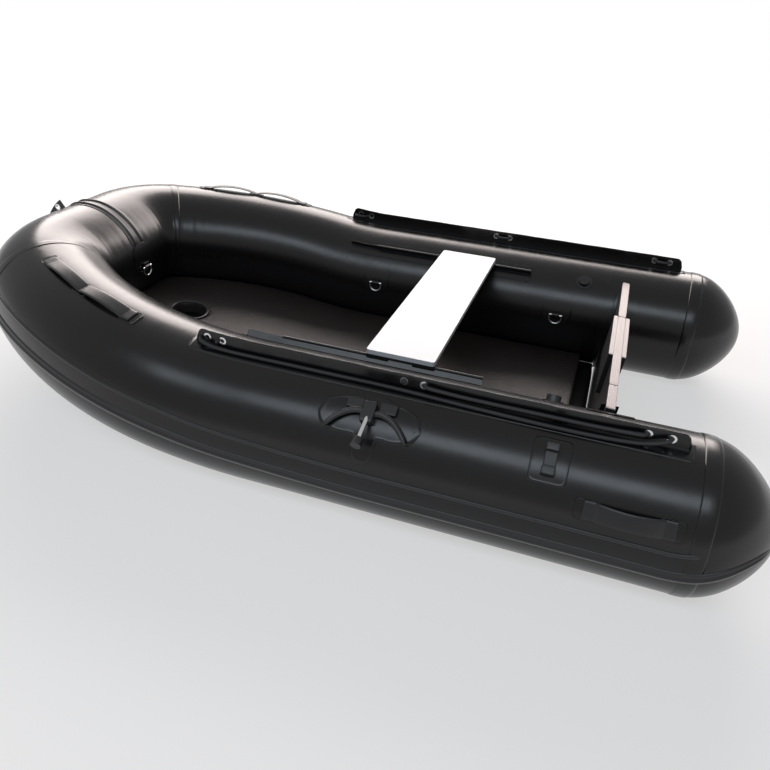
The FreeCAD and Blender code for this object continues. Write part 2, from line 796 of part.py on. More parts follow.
def rounded_path(points, share=0.45):
    """Straight runs joined by tangent arcs, each as large as its two runs allow."""
    edges = []
    radii = []
    last = points[0]
    for before, corner, after in zip(points, points[1:], points[2:]):
        back = (before - corner)
        ahead = (after - corner)
        back_length = back.Length
        ahead_length = ahead.Length
        back.normalize()
        ahead.normalize()
        turn = math.pi - back.getAngle(ahead)
        trim = share * min(back_length, ahead_length)
        radius = trim / math.tan(turn / 2)
        radii.append(radius)
        start = corner + back * trim
        finish = corner + ahead * trim
        inward = back + ahead
        inward.normalize()
        middle = corner + inward * (radius / math.cos(turn / 2) - radius)
        edges.append(Part.LineSegment(last, start).toShape())
        edges.append(Part.Arc(start, middle, finish).toShape())
        last = finish
    edges.append(Part.LineSegment(last, points[-1]).toShape())
    return Part.Wire(edges), radii


def rope_route():
    """Points of the lifeline, threaded through the eyelets and slack along the outboard side.

    Each point is a station, a distance outboard of the fin's middle and a height above the eyelets.
    The long stretch runs aft under the eyelets, and a second stretch comes back above it.
    """
    aft_1, aft_2, mid_1, mid_2, fore_1, fore_2 = eyelet_stations()
    return [
        (fore_1, 12, 0), (fore_1, -16, 0), (fore_2, -16, 0), (fore_2, 16, 0),
        (fore_2 - 32, 14, -14), (fore_2 - 80, 12, -19), (fore_2 - 160, 11, -20),
        (fore_2 - 270, 12, -19), (fore_2 - 390, 11, -20), (fore_2 - 500, 12, -19),
        (fore_2 - 600, 13, -21), (fore_2 - 700, 17, -22), (fore_2 - 810, 21, -22.5),
        (fore_2 - 920, 24, -23), (fore_2 - 1010, 23, -22.5), (fore_2 - 1080, 19, -21),
        (aft_1 + 40, 16, -16), (aft_1, 16, 0), (aft_1, -16, 0), (aft_2, -16, 0),
        (aft_2, 14, 1), (aft_2 + 45, 11, -3), (aft_2 + 120, 10, -6), (aft_2 + 220, 11, -5),
        (aft_2 + 320, 10, -6), (aft_2 + 410, 11, -5), (mid_1 - 45, 11, -3), (mid_1, 14, 1),
        (mid_1, -16, 0), (mid_2, -16, 0), (mid_2, 12, 0),
    ]


def lifeline_rope():
    """The lifeline, one length of rope held by the eyelets."""
    side = size("lifeline_spread") - size("tube_spread")
    points = []
    for station, outboard, height in rope_route():
        point, along, out, up = RUN.frame(station)
        points.append(point + out * (side + outboard) + up * (size("eyelet_height") - R + height))
    wire, radii = rounded_path(points)
    section = Part.Wire(Part.makeCircle(size("rope_radius"), points[0], points[1] - points[0]))
    solid = wire.makePipe(section)
    if solid.ShapeType != "Solid":
        solid = wire.makePipeShell([section], True, True)
    ratio = solid.Volume / (wire.Length * math.pi * size("rope_radius") ** 2)
    print("lifeline length", round(wire.Length), "radii", [round(radius) for radius in radii],
          "volume ratio", round(ratio, 4))
    return solid


rope = shaped("port_lifeline", lifeline_rope())
starboard_of(rope, "starboard_lifeline")


# ---------------------------------------------------------------------------- D-rings
BAR = size("patch_wall") + size("loop_wall") + size("loop_clearance") + size("ring_wire") + GAP


def ring_bar(station, angle):
    """Placement of a ring's bar: X along the bar, Y the way the ring hangs, Z off the skin."""
    place = RUN.seat(station, angle, BAR)
    if angle > 90:
        place = place.multiply(Placement(Vector(0, 0, 0), Rotation(UP, 180)))
    return place


def hanging(station, angle):
    """Placement of a ring at rest: X along the bar, Y straight down, Z towards the cockpit."""
    point, along, out, up = RUN.frame(station)
    return Placement(ring_bar(station, angle).Base,
                     Rotation(-along, -UP, along.cross(UP), "ZXY"))


def d_ring(name, place, label):
    """A D-ring: bar, two legs and a half-round, hanging along its own Y."""
    def local(x, y, rotation=Rotation()):
        return place.multiply(Placement(Vector(x, y, 0), rotation))

    half = size("ring_half_width")
    leg = size("ring_leg")
    along_bar = Rotation(PORT, 90)
    down = Rotation(FORE, -90)
    pieces = [
        primitive("Cylinder", name + "_bar", local(-half, 0, along_bar),
                  Radius="Sizes.ring_wire", Height="2 * Sizes.ring_half_width"),
        primitive("Torus", name + "_bow", local(0, leg),
                  Radius1="Sizes.ring_half_width", Radius2="Sizes.ring_wire", Angle3="180"),
    ]
    for side in (-1, 1):
        pieces.append(primitive("Cylinder", f"{name}_leg_{side + 1}", local(side * half, 0, down),
                                Radius="Sizes.ring_wire", Height="Sizes.ring_leg"))
        pieces.append(primitive("Sphere", f"{name}_knee_{side + 1}", local(side * half, 0),
                                Radius="Sizes.ring_wire"))
    return keep(fused(name, pieces), label)


def ring_base(station, angle):
    """Round patch with the webbing loop that holds a ring's bar."""
    patch = round_patch(station, angle - size("ring_drop"), size("ring_patch"))
    place = ring_bar(station, angle)
    bore = size("ring_wire") + size("loop_clearance")
    outer = bore + size("loop_wall")
    length = size("loop_width")
    loop = Part.makeCylinder(outer, length, Vector(-length / 2, 0, 0), FORE)
    foot = Part.makeBox(length, 2 * outer + 8, outer, Vector(-length / 2, -outer - 8, -outer))
    hole = Part.makeCylinder(bore, length + 2, Vector(-length / 2 - 1, 0, 0), FORE)
    body = joined([loop, foot]).cut(hole)
    body.Placement = place
    trim = RUN.piece(disc(SKIN), station - R / 2, station + R / 2)
    body = max(body.cut(trim).Solids, key=lambda solid: solid.Volume)
    return joined([patch, body])


ring_places = (("forward", size("ring_forward")), ("aft", size("ring_aft")))
for name, station in ring_places:
    base = shaped(f"port_{name}_ring_patch", ring_base(station, size("ring_angle")))
    starboard_of(base, f"starboard_{name}_ring_patch")
    ring = d_ring(f"port_{name}_ring_body", hanging(station, size("ring_angle")),
                  f"port_{name}_ring")
    starboard_of(ring, f"starboard_{name}_ring")

shaped("bow_ring_patch", ring_base(RUN.end, size("bow_ring_angle")))
d_ring("bow_ring_body", hanging(RUN.end, size("bow_ring_angle")), "bow_ring")


# ---------------------------------------------------------------------------- bow gear
def across_bow(low, high, inner, wall, half_width, middle=0.0):
    """A strip that runs fore and aft over the bow tube."""
    start = RUN.end - half_width
    piece = RUN.piece(band(inner, inner + wall, low, high), start, RUN.end)
    whole = joined([piece, mirrored(piece)])
    whole.translate(PORT * middle)
    return whole


def bow_strip():
    """Chafe strip over the bow, with two raised ribs."""
    low = size("bow_strip_front")
    high = size("bow_strip_rear")
    wall = size("patch_wall")
    base = across_bow(low, high, SKIN, wall, size("bow_strip_width") / 2)
    ribs = [across_bow(low, high, SKIN + wall, size("bow_rib_depth"), size("bow_rib_width") / 2,
                       side * size("bow_rib_gap") / 2) for side in (-1, 1)]
    return joined([base] + ribs)


shaped("bow_chafe_strip", bow_strip())


def tow_tab():
    """Upright tab on the front of the bow, with two eyelets for the towing bridle."""
    middle = size("tow_tab_angle")
    half = size("tow_tab_span") / 2
    wall = size("patch_wall")
    base = across_bow(middle - half, middle + half, SKIN, wall, 26)
    fin = across_bow(middle - half, middle + half, SKIN + wall, size("tow_tab_height") - wall,
                     size("fin_wall") / 2)
    frame = RUN.frame(RUN.end)
    tab = joined([base, fin])
    metal = []
    spacing = math.degrees(size("eyelet_gap") / (R + size("tow_tab_height") * 0.6))
    for side in (-1, 1):
        centre = at(frame, R + size("tow_tab_height") * 0.62, middle + side * spacing / 2)
        bore = size("eyelet_ring") - size("eyelet_wire") / 2
        tab = tab.cut(Part.makeCylinder(bore, 60, centre - PORT * 30, PORT))
        half_wall = size("fin_wall") / 2 + 0.2
        wire = size("eyelet_wire")
        pieces = [Part.makeCylinder(bore - 0.05, 2 * half_wall + wire,
                                    centre - PORT * (half_wall + wire / 2), PORT)]
        for face in (-1, 1):
            start = half_wall if face > 0 else -half_wall - wire * 0.75
            pieces.append(Part.makeCylinder(size("eyelet_ring") + wire, wire * 0.75,
                                            centre + PORT * start, PORT))
        bored = joined(pieces).cut(Part.makeCylinder(bore - 0.05 - wire * 0.9, 60,
                                                     centre - PORT * 30, PORT))
        metal.append(bored)
    return tab, Part.makeCompound(metal)


tab_shape, tab_metal = tow_tab()
shaped("tow_tab", tab_shape)
shaped("tow_eyelets", tab_metal)


def strap_handle(forward, length, angle, humps):
    """A webbing handle: glued pads, and arched straps with room for fingers under them."""
    pad = size("grip_pad")
    wall = size("grip_wall")
    lift = size("grip_lift")
    half = arc_degrees(size("grip_width")) / 2
    aft = forward - length
    pads = humps + 1
    pitch = (length - pad) / humps
    solids = []
    for index in range(pads):
        start = aft + index * pitch
        solids.append(RUN.piece(band(SKIN, SKIN + wall, angle - half, angle + half),
                                start, start + pad))
    for index in range(humps):
        start = aft + index * pitch + pad - 6
        finish = aft + (index + 1) * pitch + 6
        steps = 8
        for step in range(steps):
            one = step / steps
            two = (step + 1) / steps
            height = lift * math.sin(math.pi * (one + two) / 2) ** 0.8
            thick = wall + abs(lift * (math.sin(math.pi * two) ** 0.8
                                       - math.sin(math.pi * one) ** 0.8)) * 1.05
            low = max(SKIN, SKIN + height - thick / 2 + wall / 2)
            solids.append(RUN.piece(band(low, low + thick, angle - half, angle + half),
                                    start + (finish - start) * one, start + (finish - start) * two))
    return joined(solids)


bow_grip = shaped("port_bow_handle", strap_handle(size("grip_end_forward"), size("grip_length"),
                                                  size("grip_angle"), 2))
starboard_of(bow_grip, "starboard_bow_handle")
stern_grip = shaped("port_stern_handle", strap_handle(size("stern_grip_forward"),
                                                      size("stern_grip_length"),
                                                      size("stern_grip_angle"), 1))
starboard_of(stern_grip, "starboard_stern_handle")


# ---------------------------------------------------------------------------- oar fittings
def pin_place():
    """Placement of the oarlock pin: Z along it, from inside the hub outwards and down."""
    seat = RUN.seat(size("oarlock_ahead"), size("oarlock_angle"),
                    size("patch_wall") + GAP + size("hub_height") / 2)
    return seat.multiply(Placement(Vector(0, size("pin_radius"), 0),
                                   Rotation(FORE, -size("pin_droop"))))


def oarlock():
    """Moulded oarlock: base, two shoulder plates, a hub and two curved arms."""
    station = size("oarlock_ahead")
    angle = size("oarlock_angle")
    wall = size("patch_wall")
    span = size("oarlock_span")
    low = size("oarlock_low")
    high = size("oarlock_high")
    patch = skin_shell(low, high, station - span, station + span, SKIN, wall)
    tab_half = 22
    patch = joined([patch, skin_shell(low - 9, low, station - tab_half, station + tab_half,
                                      SKIN, wall)])
    seat = RUN.seat(station, angle, wall + GAP)
    hub_width = size("hub_width")
    hub = Part.makeBox(hub_width, size("hub_length"), size("hub_height") + 6,
                       Vector(-hub_width / 2, -size("hub_length") / 2, -6))
    pieces = [hub]
    for side in (-1, 1):
        plate = Part.makeBox(40, 30, 16, Vector(-20, -15, -6))
        plate.translate(Vector(side * (hub_width / 2 + 19), -12, 0))
        pieces.append(plate)
        arm_points = [Vector(side * 12, 8, 6), Vector(side * 40, 14, 5), Vector(side * 66, 28, 1),
                      Vector(side * 88, 48, -8)]
        wire, radii = rounded_path(arm_points)
        section = Part.Wire(Part.makeCircle(size("arm_radius"), arm_points[0],
                                            arm_points[1] - arm_points[0]))
        pieces.append(wire.makePipeShell([section], True, True))
    body = joined(pieces)
    body.Placement = seat
    trim = RUN.piece(disc(SKIN + wall + GAP), station - R, station + R)
    socket = Part.makeCylinder(size("pin_radius") + 0.05, size("pin_length"))
    socket.Placement = pin_place()
    body = max(body.cut(trim).cut(socket).Solids, key=lambda solid: solid.Volume)
    return patch, body


oar_patch, oar_body = oarlock()
patch = shaped("port_oarlock_patch", oar_patch)
starboard_of(patch, "starboard_oarlock_patch")
body = shaped("port_oarlock", oar_body)
starboard_of(body, "starboard_oarlock")


def oar_pin():
    """Metal pin that stands out of the hub and carries the oar, and the knob on its end."""
    place = pin_place()
    pin = primitive("Cylinder", "port_oarlock_pin_body", place,
                    Radius="Sizes.pin_radius", Height="Sizes.pin_length")
    tip = place.multiply(shift(z=size("pin_length") + GAP))
    knob = primitive("Cylinder", "port_oarlock_knob_body", tip,
                     Radius="Sizes.knob_radius", Height="Sizes.knob_height")
    return pin, knob


pin, knob = oar_pin()
keep(pin, "port_oarlock_pin")
starboard_of(pin, "starboard_oarlock_pin")
keep(knob, "port_oarlock_knob")
starboard_of(knob, "starboard_oarlock_knob")


def oar_clip():
    """Rubber clip for the stowed oar, on a rectangular patch."""
    station = size("clip_ahead")
    angle = size("clip_angle")
    half = size("clip_patch_length") / 2
    half_angle = size("clip_patch_angle") / 2
    wall = size("patch_wall")
    patch = skin_shell(angle - half_angle, angle + half_angle, station - half, station + half,
                       SKIN, wall)
    width = size("clip_body_width")
    length = size("clip_body_length")
    height = size("clip_body_height")
    block = Part.makeBox(width, length, height + 8, Vector(-width / 2, -length / 2, -8))
    throat = Part.makeCylinder(height * 0.62, width + 2, Vector(-width / 2 - 1, 0, height), FORE)
    block = block.cut(throat)
    block.Placement = RUN.seat(station, angle, wall + GAP)
    trim = RUN.piece(disc(SKIN + wall), station - R, station + R)
    return joined([patch, block.cut(trim)])


clip = shaped("port_oar_clip", oar_clip())
starboard_of(clip, "starboard_oar_clip")


# ---------------------------------------------------------------------------- check and write
doc.recompute()
for item in doc.Objects:
    if "Invalid" in item.State or "Error" in item.State:
        raise RuntimeError(f"{item.Label} failed: {item.State}")
for item in PARTS:
    if item.Shape.isNull() or not item.Shape.isValid():
        raise RuntimeError(f"{item.Label} has no valid shape")

os.makedirs("parts", exist_ok=True)
for item in PARTS:
    item.Shape.exportStep(f"parts/{item.Label}.step")
print(len(PARTS), "sub-parts written")
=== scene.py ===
# %% [markdown]
# An inflatable boat: black coated-fabric tubes, a drop-stitch floor, a plywood transom and one white
# bench. The CAD frame holds every piece at its real size. This lesson gives the surfaces their looks:
# taut air-filled skins with taped seams, a pebbled floor, braided lifelines and bright eyelets.

# %% The frame
import json
import math

import bmesh
import bpy
import numpy as np
from mathutils import Matrix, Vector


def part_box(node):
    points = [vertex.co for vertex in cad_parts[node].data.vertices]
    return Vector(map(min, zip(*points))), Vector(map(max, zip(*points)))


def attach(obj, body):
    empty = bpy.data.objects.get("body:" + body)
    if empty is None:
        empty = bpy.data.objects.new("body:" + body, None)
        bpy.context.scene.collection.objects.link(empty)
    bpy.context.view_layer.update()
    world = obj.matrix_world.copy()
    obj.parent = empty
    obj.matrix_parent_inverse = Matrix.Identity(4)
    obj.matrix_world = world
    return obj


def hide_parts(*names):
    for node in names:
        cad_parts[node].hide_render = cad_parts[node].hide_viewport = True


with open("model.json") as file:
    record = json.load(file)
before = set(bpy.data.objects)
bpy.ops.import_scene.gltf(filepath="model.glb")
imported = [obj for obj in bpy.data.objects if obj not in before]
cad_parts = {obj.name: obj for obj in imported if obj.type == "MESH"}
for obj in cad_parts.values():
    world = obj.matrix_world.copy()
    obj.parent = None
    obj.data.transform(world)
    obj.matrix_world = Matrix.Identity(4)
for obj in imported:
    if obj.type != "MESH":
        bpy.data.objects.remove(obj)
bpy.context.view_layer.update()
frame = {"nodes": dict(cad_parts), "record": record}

# %% [markdown]
# The air tube is the boat's backbone, so almost every soft piece is laid out on it. Its centreline is
# straight lines and arcs: a straight side, an upward sheer, a gentle shoulder, a tight corner and half
# the bow. A point on the skin is then a station along that line and an angle round it: 0 degrees faces
# outboard, 90 is the top and 180 faces the cockpit. Working the line out as whole arrays keeps the code
# short and gives exact tangent joints.

# %% The tube's centreline
RADIUS = 0.190
SPREAD = 0.525
LENGTH = 2.400
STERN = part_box("port_stern_cone")[0][0]
SHEER, RISE = 1.600, math.radians(7.8)
SHOULDER, TURN = 1.050, math.radians(36)
CORNER = 0.230
REACH = SHOULDER * math.sin(TURN) + CORNER * (1 - math.sin(TURN))
SIDE = LENGTH - RADIUS - REACH * math.cos(RISE) - SHEER * math.sin(RISE)
HALF_BOW = SPREAD - SHOULDER * (1 - math.cos(TURN)) - CORNER * math.cos(TURN)
LEGS = [SIDE, SHEER * RISE, SHOULDER * TURN, CORNER * (math.pi / 2 - TURN), HALF_BOW]
STARTS = np.concatenate([[0.0], np.cumsum(LEGS)])
END = STARTS[-1]
CONE = 0.190


def centreline(station):
    """Point and directions (along, out, up) at each station of an array.

    Each station adds the part of every leg that lies before it: straight legs add a length, the sheer
    turns the line up about a level axis, and the bends turn it inboard about the line's own up.
    """
    s = np.asarray(station, float)
    done = [np.clip(s - STARTS[i], 0, LEGS[i]) for i in range(5)]
    done[0] = np.where(s < 0, s, done[0])
    done[4] = np.where(s > END, s - STARTS[4], done[4])
    tilt = done[1] / SHEER
    one, two = done[2] / SHOULDER, done[3] / CORNER
    forward = SHOULDER * np.sin(one) + CORNER * (np.sin(one + two) - np.sin(one))
    inboard = SHOULDER * (1 - np.cos(one)) + CORNER * (np.cos(one) - np.cos(one + two)) + done[4]
    x = STERN + done[0] + SHEER * np.sin(tilt) + forward * np.cos(tilt)
    z = RADIUS + SHEER * (1 - np.cos(tilt)) + forward * np.sin(tilt)
    point = np.stack([x, SPREAD - inboard, z], -1)
    fore = np.stack([np.cos(tilt), 0 * s, np.sin(tilt)], -1)
    up = np.stack([-np.sin(tilt), 0 * s, np.cos(tilt)], -1)
    port = np.broadcast_to([0.0, 1.0, 0.0], fore.shape)
    bend = (one + two)[..., None]
    along = fore * np.cos(bend) - port * np.sin(bend)
    out = port * np.cos(bend) + fore * np.sin(bend)
    return point, along, out, up


def on_tube(station, angle, distance):
    """Points at a station, an angle round the tube in degrees and a distance from its centreline."""
    point, along, out, up = centreline(station)
    turn = np.radians(np.asarray(angle, float))[..., None]
    away = out * np.cos(turn) + up * np.sin(turn)
    return point + away * np.asarray(distance, float)[..., None]


def starboard(points):
    """The mirrored copy of an array of points."""
    return points * np.array([1.0, -1.0, 1.0])


print("centreline to the middle of the bow", round(float(END), 3), "m")

# %% [markdown]
# Every new surface is a grid of points turned into faces. One helper makes the mesh, closes it where it
# meets itself, and turns it to face outwards. A starboard copy is mirrored, so its faces are turned
# round to stay outward.

# %% From a grid of points to a piece
def grid_faces(rows, columns, around=False):
    """Quads of a grid: each joins a point to its neighbours along both directions."""
    i = np.arange(rows - 1)[:, None]
    j = np.arange(columns if around else columns - 1)[None, :]
    k = (j + 1) % columns
    corners = [i * columns + j, (i + 1) * columns + j, (i + 1) * columns + k, i * columns + k]
    return np.stack([c.ravel() + 0 * (i + j).ravel() for c in corners], -1)


def closed_tube(rings):
    """Points and faces of rings joined in order, each end closed by a fan to its middle point."""
    count, around = rings.shape[:2]
    ends = np.stack([rings[0].mean(0), rings[-1].mean(0)])
    faces = grid_faces(count, around, around=True).tolist()
    first, last = count * around, count * around + 1
    ring = np.arange(around)
    after = (ring + 1) % around
    base = (count - 1) * around
    faces += np.stack([ring, after, np.full(around, first)], -1).tolist()
    faces += np.stack([base + after, base + ring, np.full(around, last)], -1).tolist()
    return np.concatenate([rings.reshape(-1, 3), ends]), faces


def add_faces(name, points, faces, material, body="hull", replaced=(), flip=False, smooth=True):
    """A finished piece: its mesh, its finish and the CAD nodes that it stands for."""
    mesh_faces = [list(face) for face in faces]
    mesh = bpy.data.meshes.new(name)
    if flip:
        mesh_faces = [face[::-1] for face in mesh_faces]
    mesh.from_pydata(points.tolist(), [], mesh_faces)
    if smooth:
        mesh.shade_smooth()
    mesh.update()
    item = bpy.data.objects.new(name, mesh)
    bpy.context.scene.collection.objects.link(item)
    item.data.materials.append(material)
    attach(item, body)
    if replaced:
        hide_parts(*replaced)
    return item


# %% [markdown]
# Shader maths reads best as plain expressions, so a small class wraps a node's output socket and adds
# Math nodes as it is used in sums. Any other node is made by one method.

# %% Nodes as expressions
class Value:
    """An output socket that can be added, multiplied and compared like a number."""

    def __init__(self, tree, socket):
        self.tree = tree
        self.socket = socket

    def math(self, operation, *others):
        node = self.tree.nodes.new("ShaderNodeMath")
        node.operation = operation
        for index, item in enumerate((self,) + others):
            plug(self.tree, node.inputs[index], item)
        return Value(self.tree, node.outputs[0])

    def __add__(self, other): return self.math("ADD", other)
    def __radd__(self, other): return self.math("ADD", other)
    def __mul__(self, other): return self.math("MULTIPLY", other)
    def __rmul__(self, other): return self.math("MULTIPLY", other)
    def __sub__(self, other): return self.math("SUBTRACT", other)
    def __rsub__(self, other): return (self * -1) + other
    def __truediv__(self, other): return self.math("DIVIDE", other)


def plug(tree, socket, item):
    """Link a wrapped output to a socket, or set a plain value on it."""
    if isinstance(item, Value):
        tree.links.new(item.socket, socket)
    else:
        socket.default_value = item


class Finish:
    """A material with one Principled shader, and a maker for the nodes that feed it."""

    def __init__(self, name, **constants):
        self.material = bpy.data.materials.new(name)
        self.material.use_nodes = True
        self.tree = self.material.node_tree
        self.shader = self.tree.nodes["Principled BSDF"]
        for socket, value in constants.items():
            self.shader.inputs[socket.replace("_", " ")].default_value = value

    def node(self, kind, output=0, settings=None, **sockets):
        """Any node: its settings first, then the values or links of its sockets."""
        node = self.tree.nodes.new("ShaderNode" + kind)
        for name, value in (settings or {}).items():
            setattr(node, name, value)
        for name, value in sockets.items():
            plug(self.tree, node.inputs[name.replace("_", " ")], value)
        return Value(self.tree, node.outputs[output])

    def place(self, scale=(1, 1, 1)):
        """Object coordinates, scaled."""
        where = self.node("TexCoord", output="Object")
        return self.node("Mapping", Vector=where, Scale=scale)

    def noise(self, scale, detail=2.0, stretch=(1, 1, 1)):
        return self.node("TexNoise", Vector=self.place(stretch), Scale=scale, Detail=detail)

    def colours(self, factor, first, second):
        """A mix of two colours by a factor."""
        node = self.tree.nodes.new("ShaderNodeMix")
        node.data_type = "RGBA"
        plug(self.tree, node.inputs[0], factor)
        node.inputs[6].default_value = (*first, 1)
        node.inputs[7].default_value = (*second, 1)
        return Value(self.tree, node.outputs[2])

    def feed(self, **sockets):
        for name, value in sockets.items():
            plug(self.tree, self.shader.inputs[name.replace("_", " ")], value)
        return self

    def bump(self, height, distance, strength=1.0):
        """Relief from a height, in metres at full height."""
        relief = self.node("Bump", Height=height, Distance=distance, Strength=strength)
        return self.feed(Normal=relief)


# %% [markdown]
# The tubes are PVC-coated polyester: nearly black, with a satin skin that shows long soft highlights.
# A fine cloth grain lies under the coating and slow waves break the highlights up. Both are bump, since
# they are far smaller than the mesh.

# %% Finishes
def coated_fabric(name, colour=(0.0040, 0.0040, 0.0045), rough=0.25, grain=0.00004):
    finish = Finish(name, Metallic=0.0, IOR=1.44)
    slow = finish.noise(3.0, 3.0)
    fine = finish.noise(900.0, 1.0)
    dust = finish.noise(40.0, 4.0)
    shade = finish.colours(slow, colour, tuple(c * 1.7 for c in colour))
    finish.feed(Base_Color=shade, Roughness=(slow - 0.5) * 0.10 + (dust - 0.5) * 0.06 + rough)
    finish.bump(fine * grain + finish.noise(16.0, 2.0) * 0.0004, 1.0)
    return finish.material


def plain_metal(name, colour=(0.78, 0.78, 0.79), rough=0.16):
    finish = Finish(name, Metallic=1.0)
    scratch = finish.noise(120.0, 3.0, (1, 1, 6))
    finish.feed(Base_Color=finish.colours(scratch, colour, tuple(c * 0.85 for c in colour)),
                Roughness=scratch * 0.12 + (rough - 0.05))
    return finish.material


def moulded(name, colour=(0.013, 0.013, 0.014), rough=0.38):
    finish = Finish(name)
    fine = finish.noise(500.0, 2.0)
    finish.feed(Base_Color=finish.colours(finish.noise(9.0), colour, tuple(c * 1.8 for c in colour)),
                Roughness=fine * 0.14 + (rough - 0.07))
    finish.bump(fine * 0.00008, 1.0)
    return finish.material


def non_skid(name):
    """Floor cloth: a brown-grey pebbled coating with faint wear."""
    finish = Finish(name)
    place = finish.place()
    cells = finish.node("TexVoronoi", Vector=place, Scale=260.0)
    wear = finish.noise(5.0, 4.0)
    finish.feed(Base_Color=finish.colours(wear, (0.010, 0.008, 0.007), (0.030, 0.024, 0.021)),
                Roughness=wear * 0.16 + 0.38)
    finish.bump(cells * 0.0005, 1.0)
    return finish.material


def webbing_cloth(name, colour=(0.009, 0.009, 0.010)):
    finish = Finish(name)
    where = finish.node("TexCoord", output="Object")
    rib = finish.node("TexWave", Vector=where, Scale=330.0, settings={"bands_direction": "DIAGONAL"})
    finish.feed(Base_Color=finish.colours(rib, colour, tuple(c * 1.5 for c in colour)),
                Roughness=rib * 0.08 + 0.34)
    finish.bump(rib * 0.00006, 1.0)
    return finish.material


def white_paint(name):
    finish = Finish(name)
    wear = finish.noise(4.0, 4.0)
    finish.feed(Base_Color=finish.colours(wear, (0.66, 0.69, 0.72), (0.71, 0.73, 0.75)),
                Roughness=wear * 0.12 + 0.30)
    finish.bump(finish.noise(260.0, 2.0) * 0.00003, 1.0)
    return finish.material


def braided_rope(name):
    finish = Finish(name)
    where = finish.node("TexCoord", output="UV")
    one = finish.node("TexWave", Vector=finish.node("Mapping", Vector=where, Scale=(1, 3, 1)),
                      Scale=1.0, settings={"bands_direction": "DIAGONAL"})
    finish.feed(Base_Color=finish.colours(one, (0.022, 0.022, 0.024), (0.075, 0.075, 0.08)),
                Roughness=one * 0.1 + 0.6)
    finish.bump(one * 0.0006, 1.0)
    return finish.material


TUBE = coated_fabric("tube coating")
PATCH = coated_fabric("patch coating", (0.0050, 0.0050, 0.0055), 0.24)
BOTTOM = coated_fabric("bottom coating", (0.006, 0.006, 0.007), 0.42)
STRAKE = moulded("strake rubber", (0.014, 0.014, 0.015), 0.34)
FLOOR = non_skid("floor coating")
PLASTIC = moulded("black moulding")
BOARD = moulded("board coating", (0.012, 0.0115, 0.011), 0.40)
STEEL = plain_metal("bright steel")
WEBBING = webbing_cloth("black webbing")
BENCH = white_paint("bench paint")
ROPE = braided_rope("lifeline braid")
print(len(bpy.data.materials), "finishes")

# %% [markdown]
# Every CAD node gets the finish of its slot. Those whose shape is right keep it, and the rest are stood
# for by pieces made further down.

# %% Finishes on the CAD nodes
BY_SLOT = {
    "tube_fabric": TUBE, "strake_rubber": STRAKE, "floor_fabric": FLOOR, "bottom_fabric": BOTTOM,
    "patch_fabric": PATCH, "transom_wood": BOARD, "pad_plastic": PLASTIC, "bench_paint": BENCH,
    "bright_steel": STEEL, "rope": ROPE, "webbing": WEBBING, "black_plastic": PLASTIC,
}
for entry in frame["record"]["subparts"]:
    node = frame["nodes"][entry["node"]]
    node.data.materials.clear()
    node.data.materials.append(BY_SLOT[entry["material_slot"]])
print(len(frame["nodes"]), "CAD nodes finished")

# %% [markdown]
# An air tube is fabric drawn tight by pressure. It is a grid over station and angle, set a fraction of a
# millimetre inside the tube's radius. Where the fabric bends inboard it cannot shrink, so small puckers
# run round the inside of the corner. The puckers are a sine of the station, faded in by the bend's
# sharpness and by how far the angle faces the cockpit.

# %% Side tubes and bow
def skin(station, angle):
    """Distance of the skin from the centreline: the radius less small puckers inside the corner."""
    bend = np.clip((station - STARTS[2]) / 0.25, 0, 1)
    tight = np.exp(-((station - STARTS[3]) / 0.10) ** 2)
    inside = np.clip(-np.cos(np.radians(angle - 10)), 0, 1) ** 2
    ripple = np.sin(station * 2 * np.pi / 0.045) * 0.5 + np.sin(station * 2 * np.pi / 0.031 + 1) * 0.5
    return RADIUS - 0.0002 - inside * (bend * 0.0004 + tight * 0.0013) * (1 + ripple)


def tube_rings(start, finish, along=240, around=160):
    """Rings of skin points between two stations."""
    station = np.linspace(start, finish, along)[:, None] + np.zeros((1, around))
    angle = np.linspace(0, 360, around, endpoint=False)[None, :] + np.zeros((along, 1))
    return on_tube(station, angle, skin(station, angle))


side_rings = tube_rings(CONE, STARTS[3])
points, faces = closed_tube(side_rings)
add_faces("port_side_skin", points, faces, TUBE, replaced=("port_tube",), flip=True)
add_faces("starboard_side_skin", starboard(points), faces, TUBE,
          replaced=("starboard_tube",))
half = tube_rings(STARTS[3], END, along=90)
whole = np.concatenate([half, starboard(half[:-1])[::-1]])
points, faces = closed_tube(whole)
add_faces("bow_skin", points, faces, TUBE, replaced=("bow_tube",), flip=True)

# %% [markdown]
# The stern cones are moulded fabric cups: a bulged taper that rounds over to a small flat end. Turning a
# profile round the tube's line makes one. The radius is an ellipse-like power curve of the distance from
# the tip, so it leaves the tube without a kink. A wide seam tape covers the joint.

# %% Stern cones and seam tapes
def cone_radius(from_tip):
    """Radius at a distance from the tip: a flat nose, then one minus a power of what is left."""
    left = np.clip(1 - from_tip / CONE, 0, 1)
    return RADIUS * (1 - 0.72 * left ** 2.1) * np.clip(1 - left ** 14, 0.0, 1) ** 0.35


def cone_rings(grow=0.0, start=0.0, finish=CONE, along=60, around=128):
    """Rings of the cone's skin, closer together towards the tip."""
    step = np.linspace(0, 1, along) ** 1.6
    station = (start + (finish - start) * step)[:, None] + np.zeros((1, around))
    angle = np.linspace(0, 360, around, endpoint=False)[None, :] + np.zeros((along, 1))
    return on_tube(station, angle, np.maximum(cone_radius(station), 0.004) + grow)


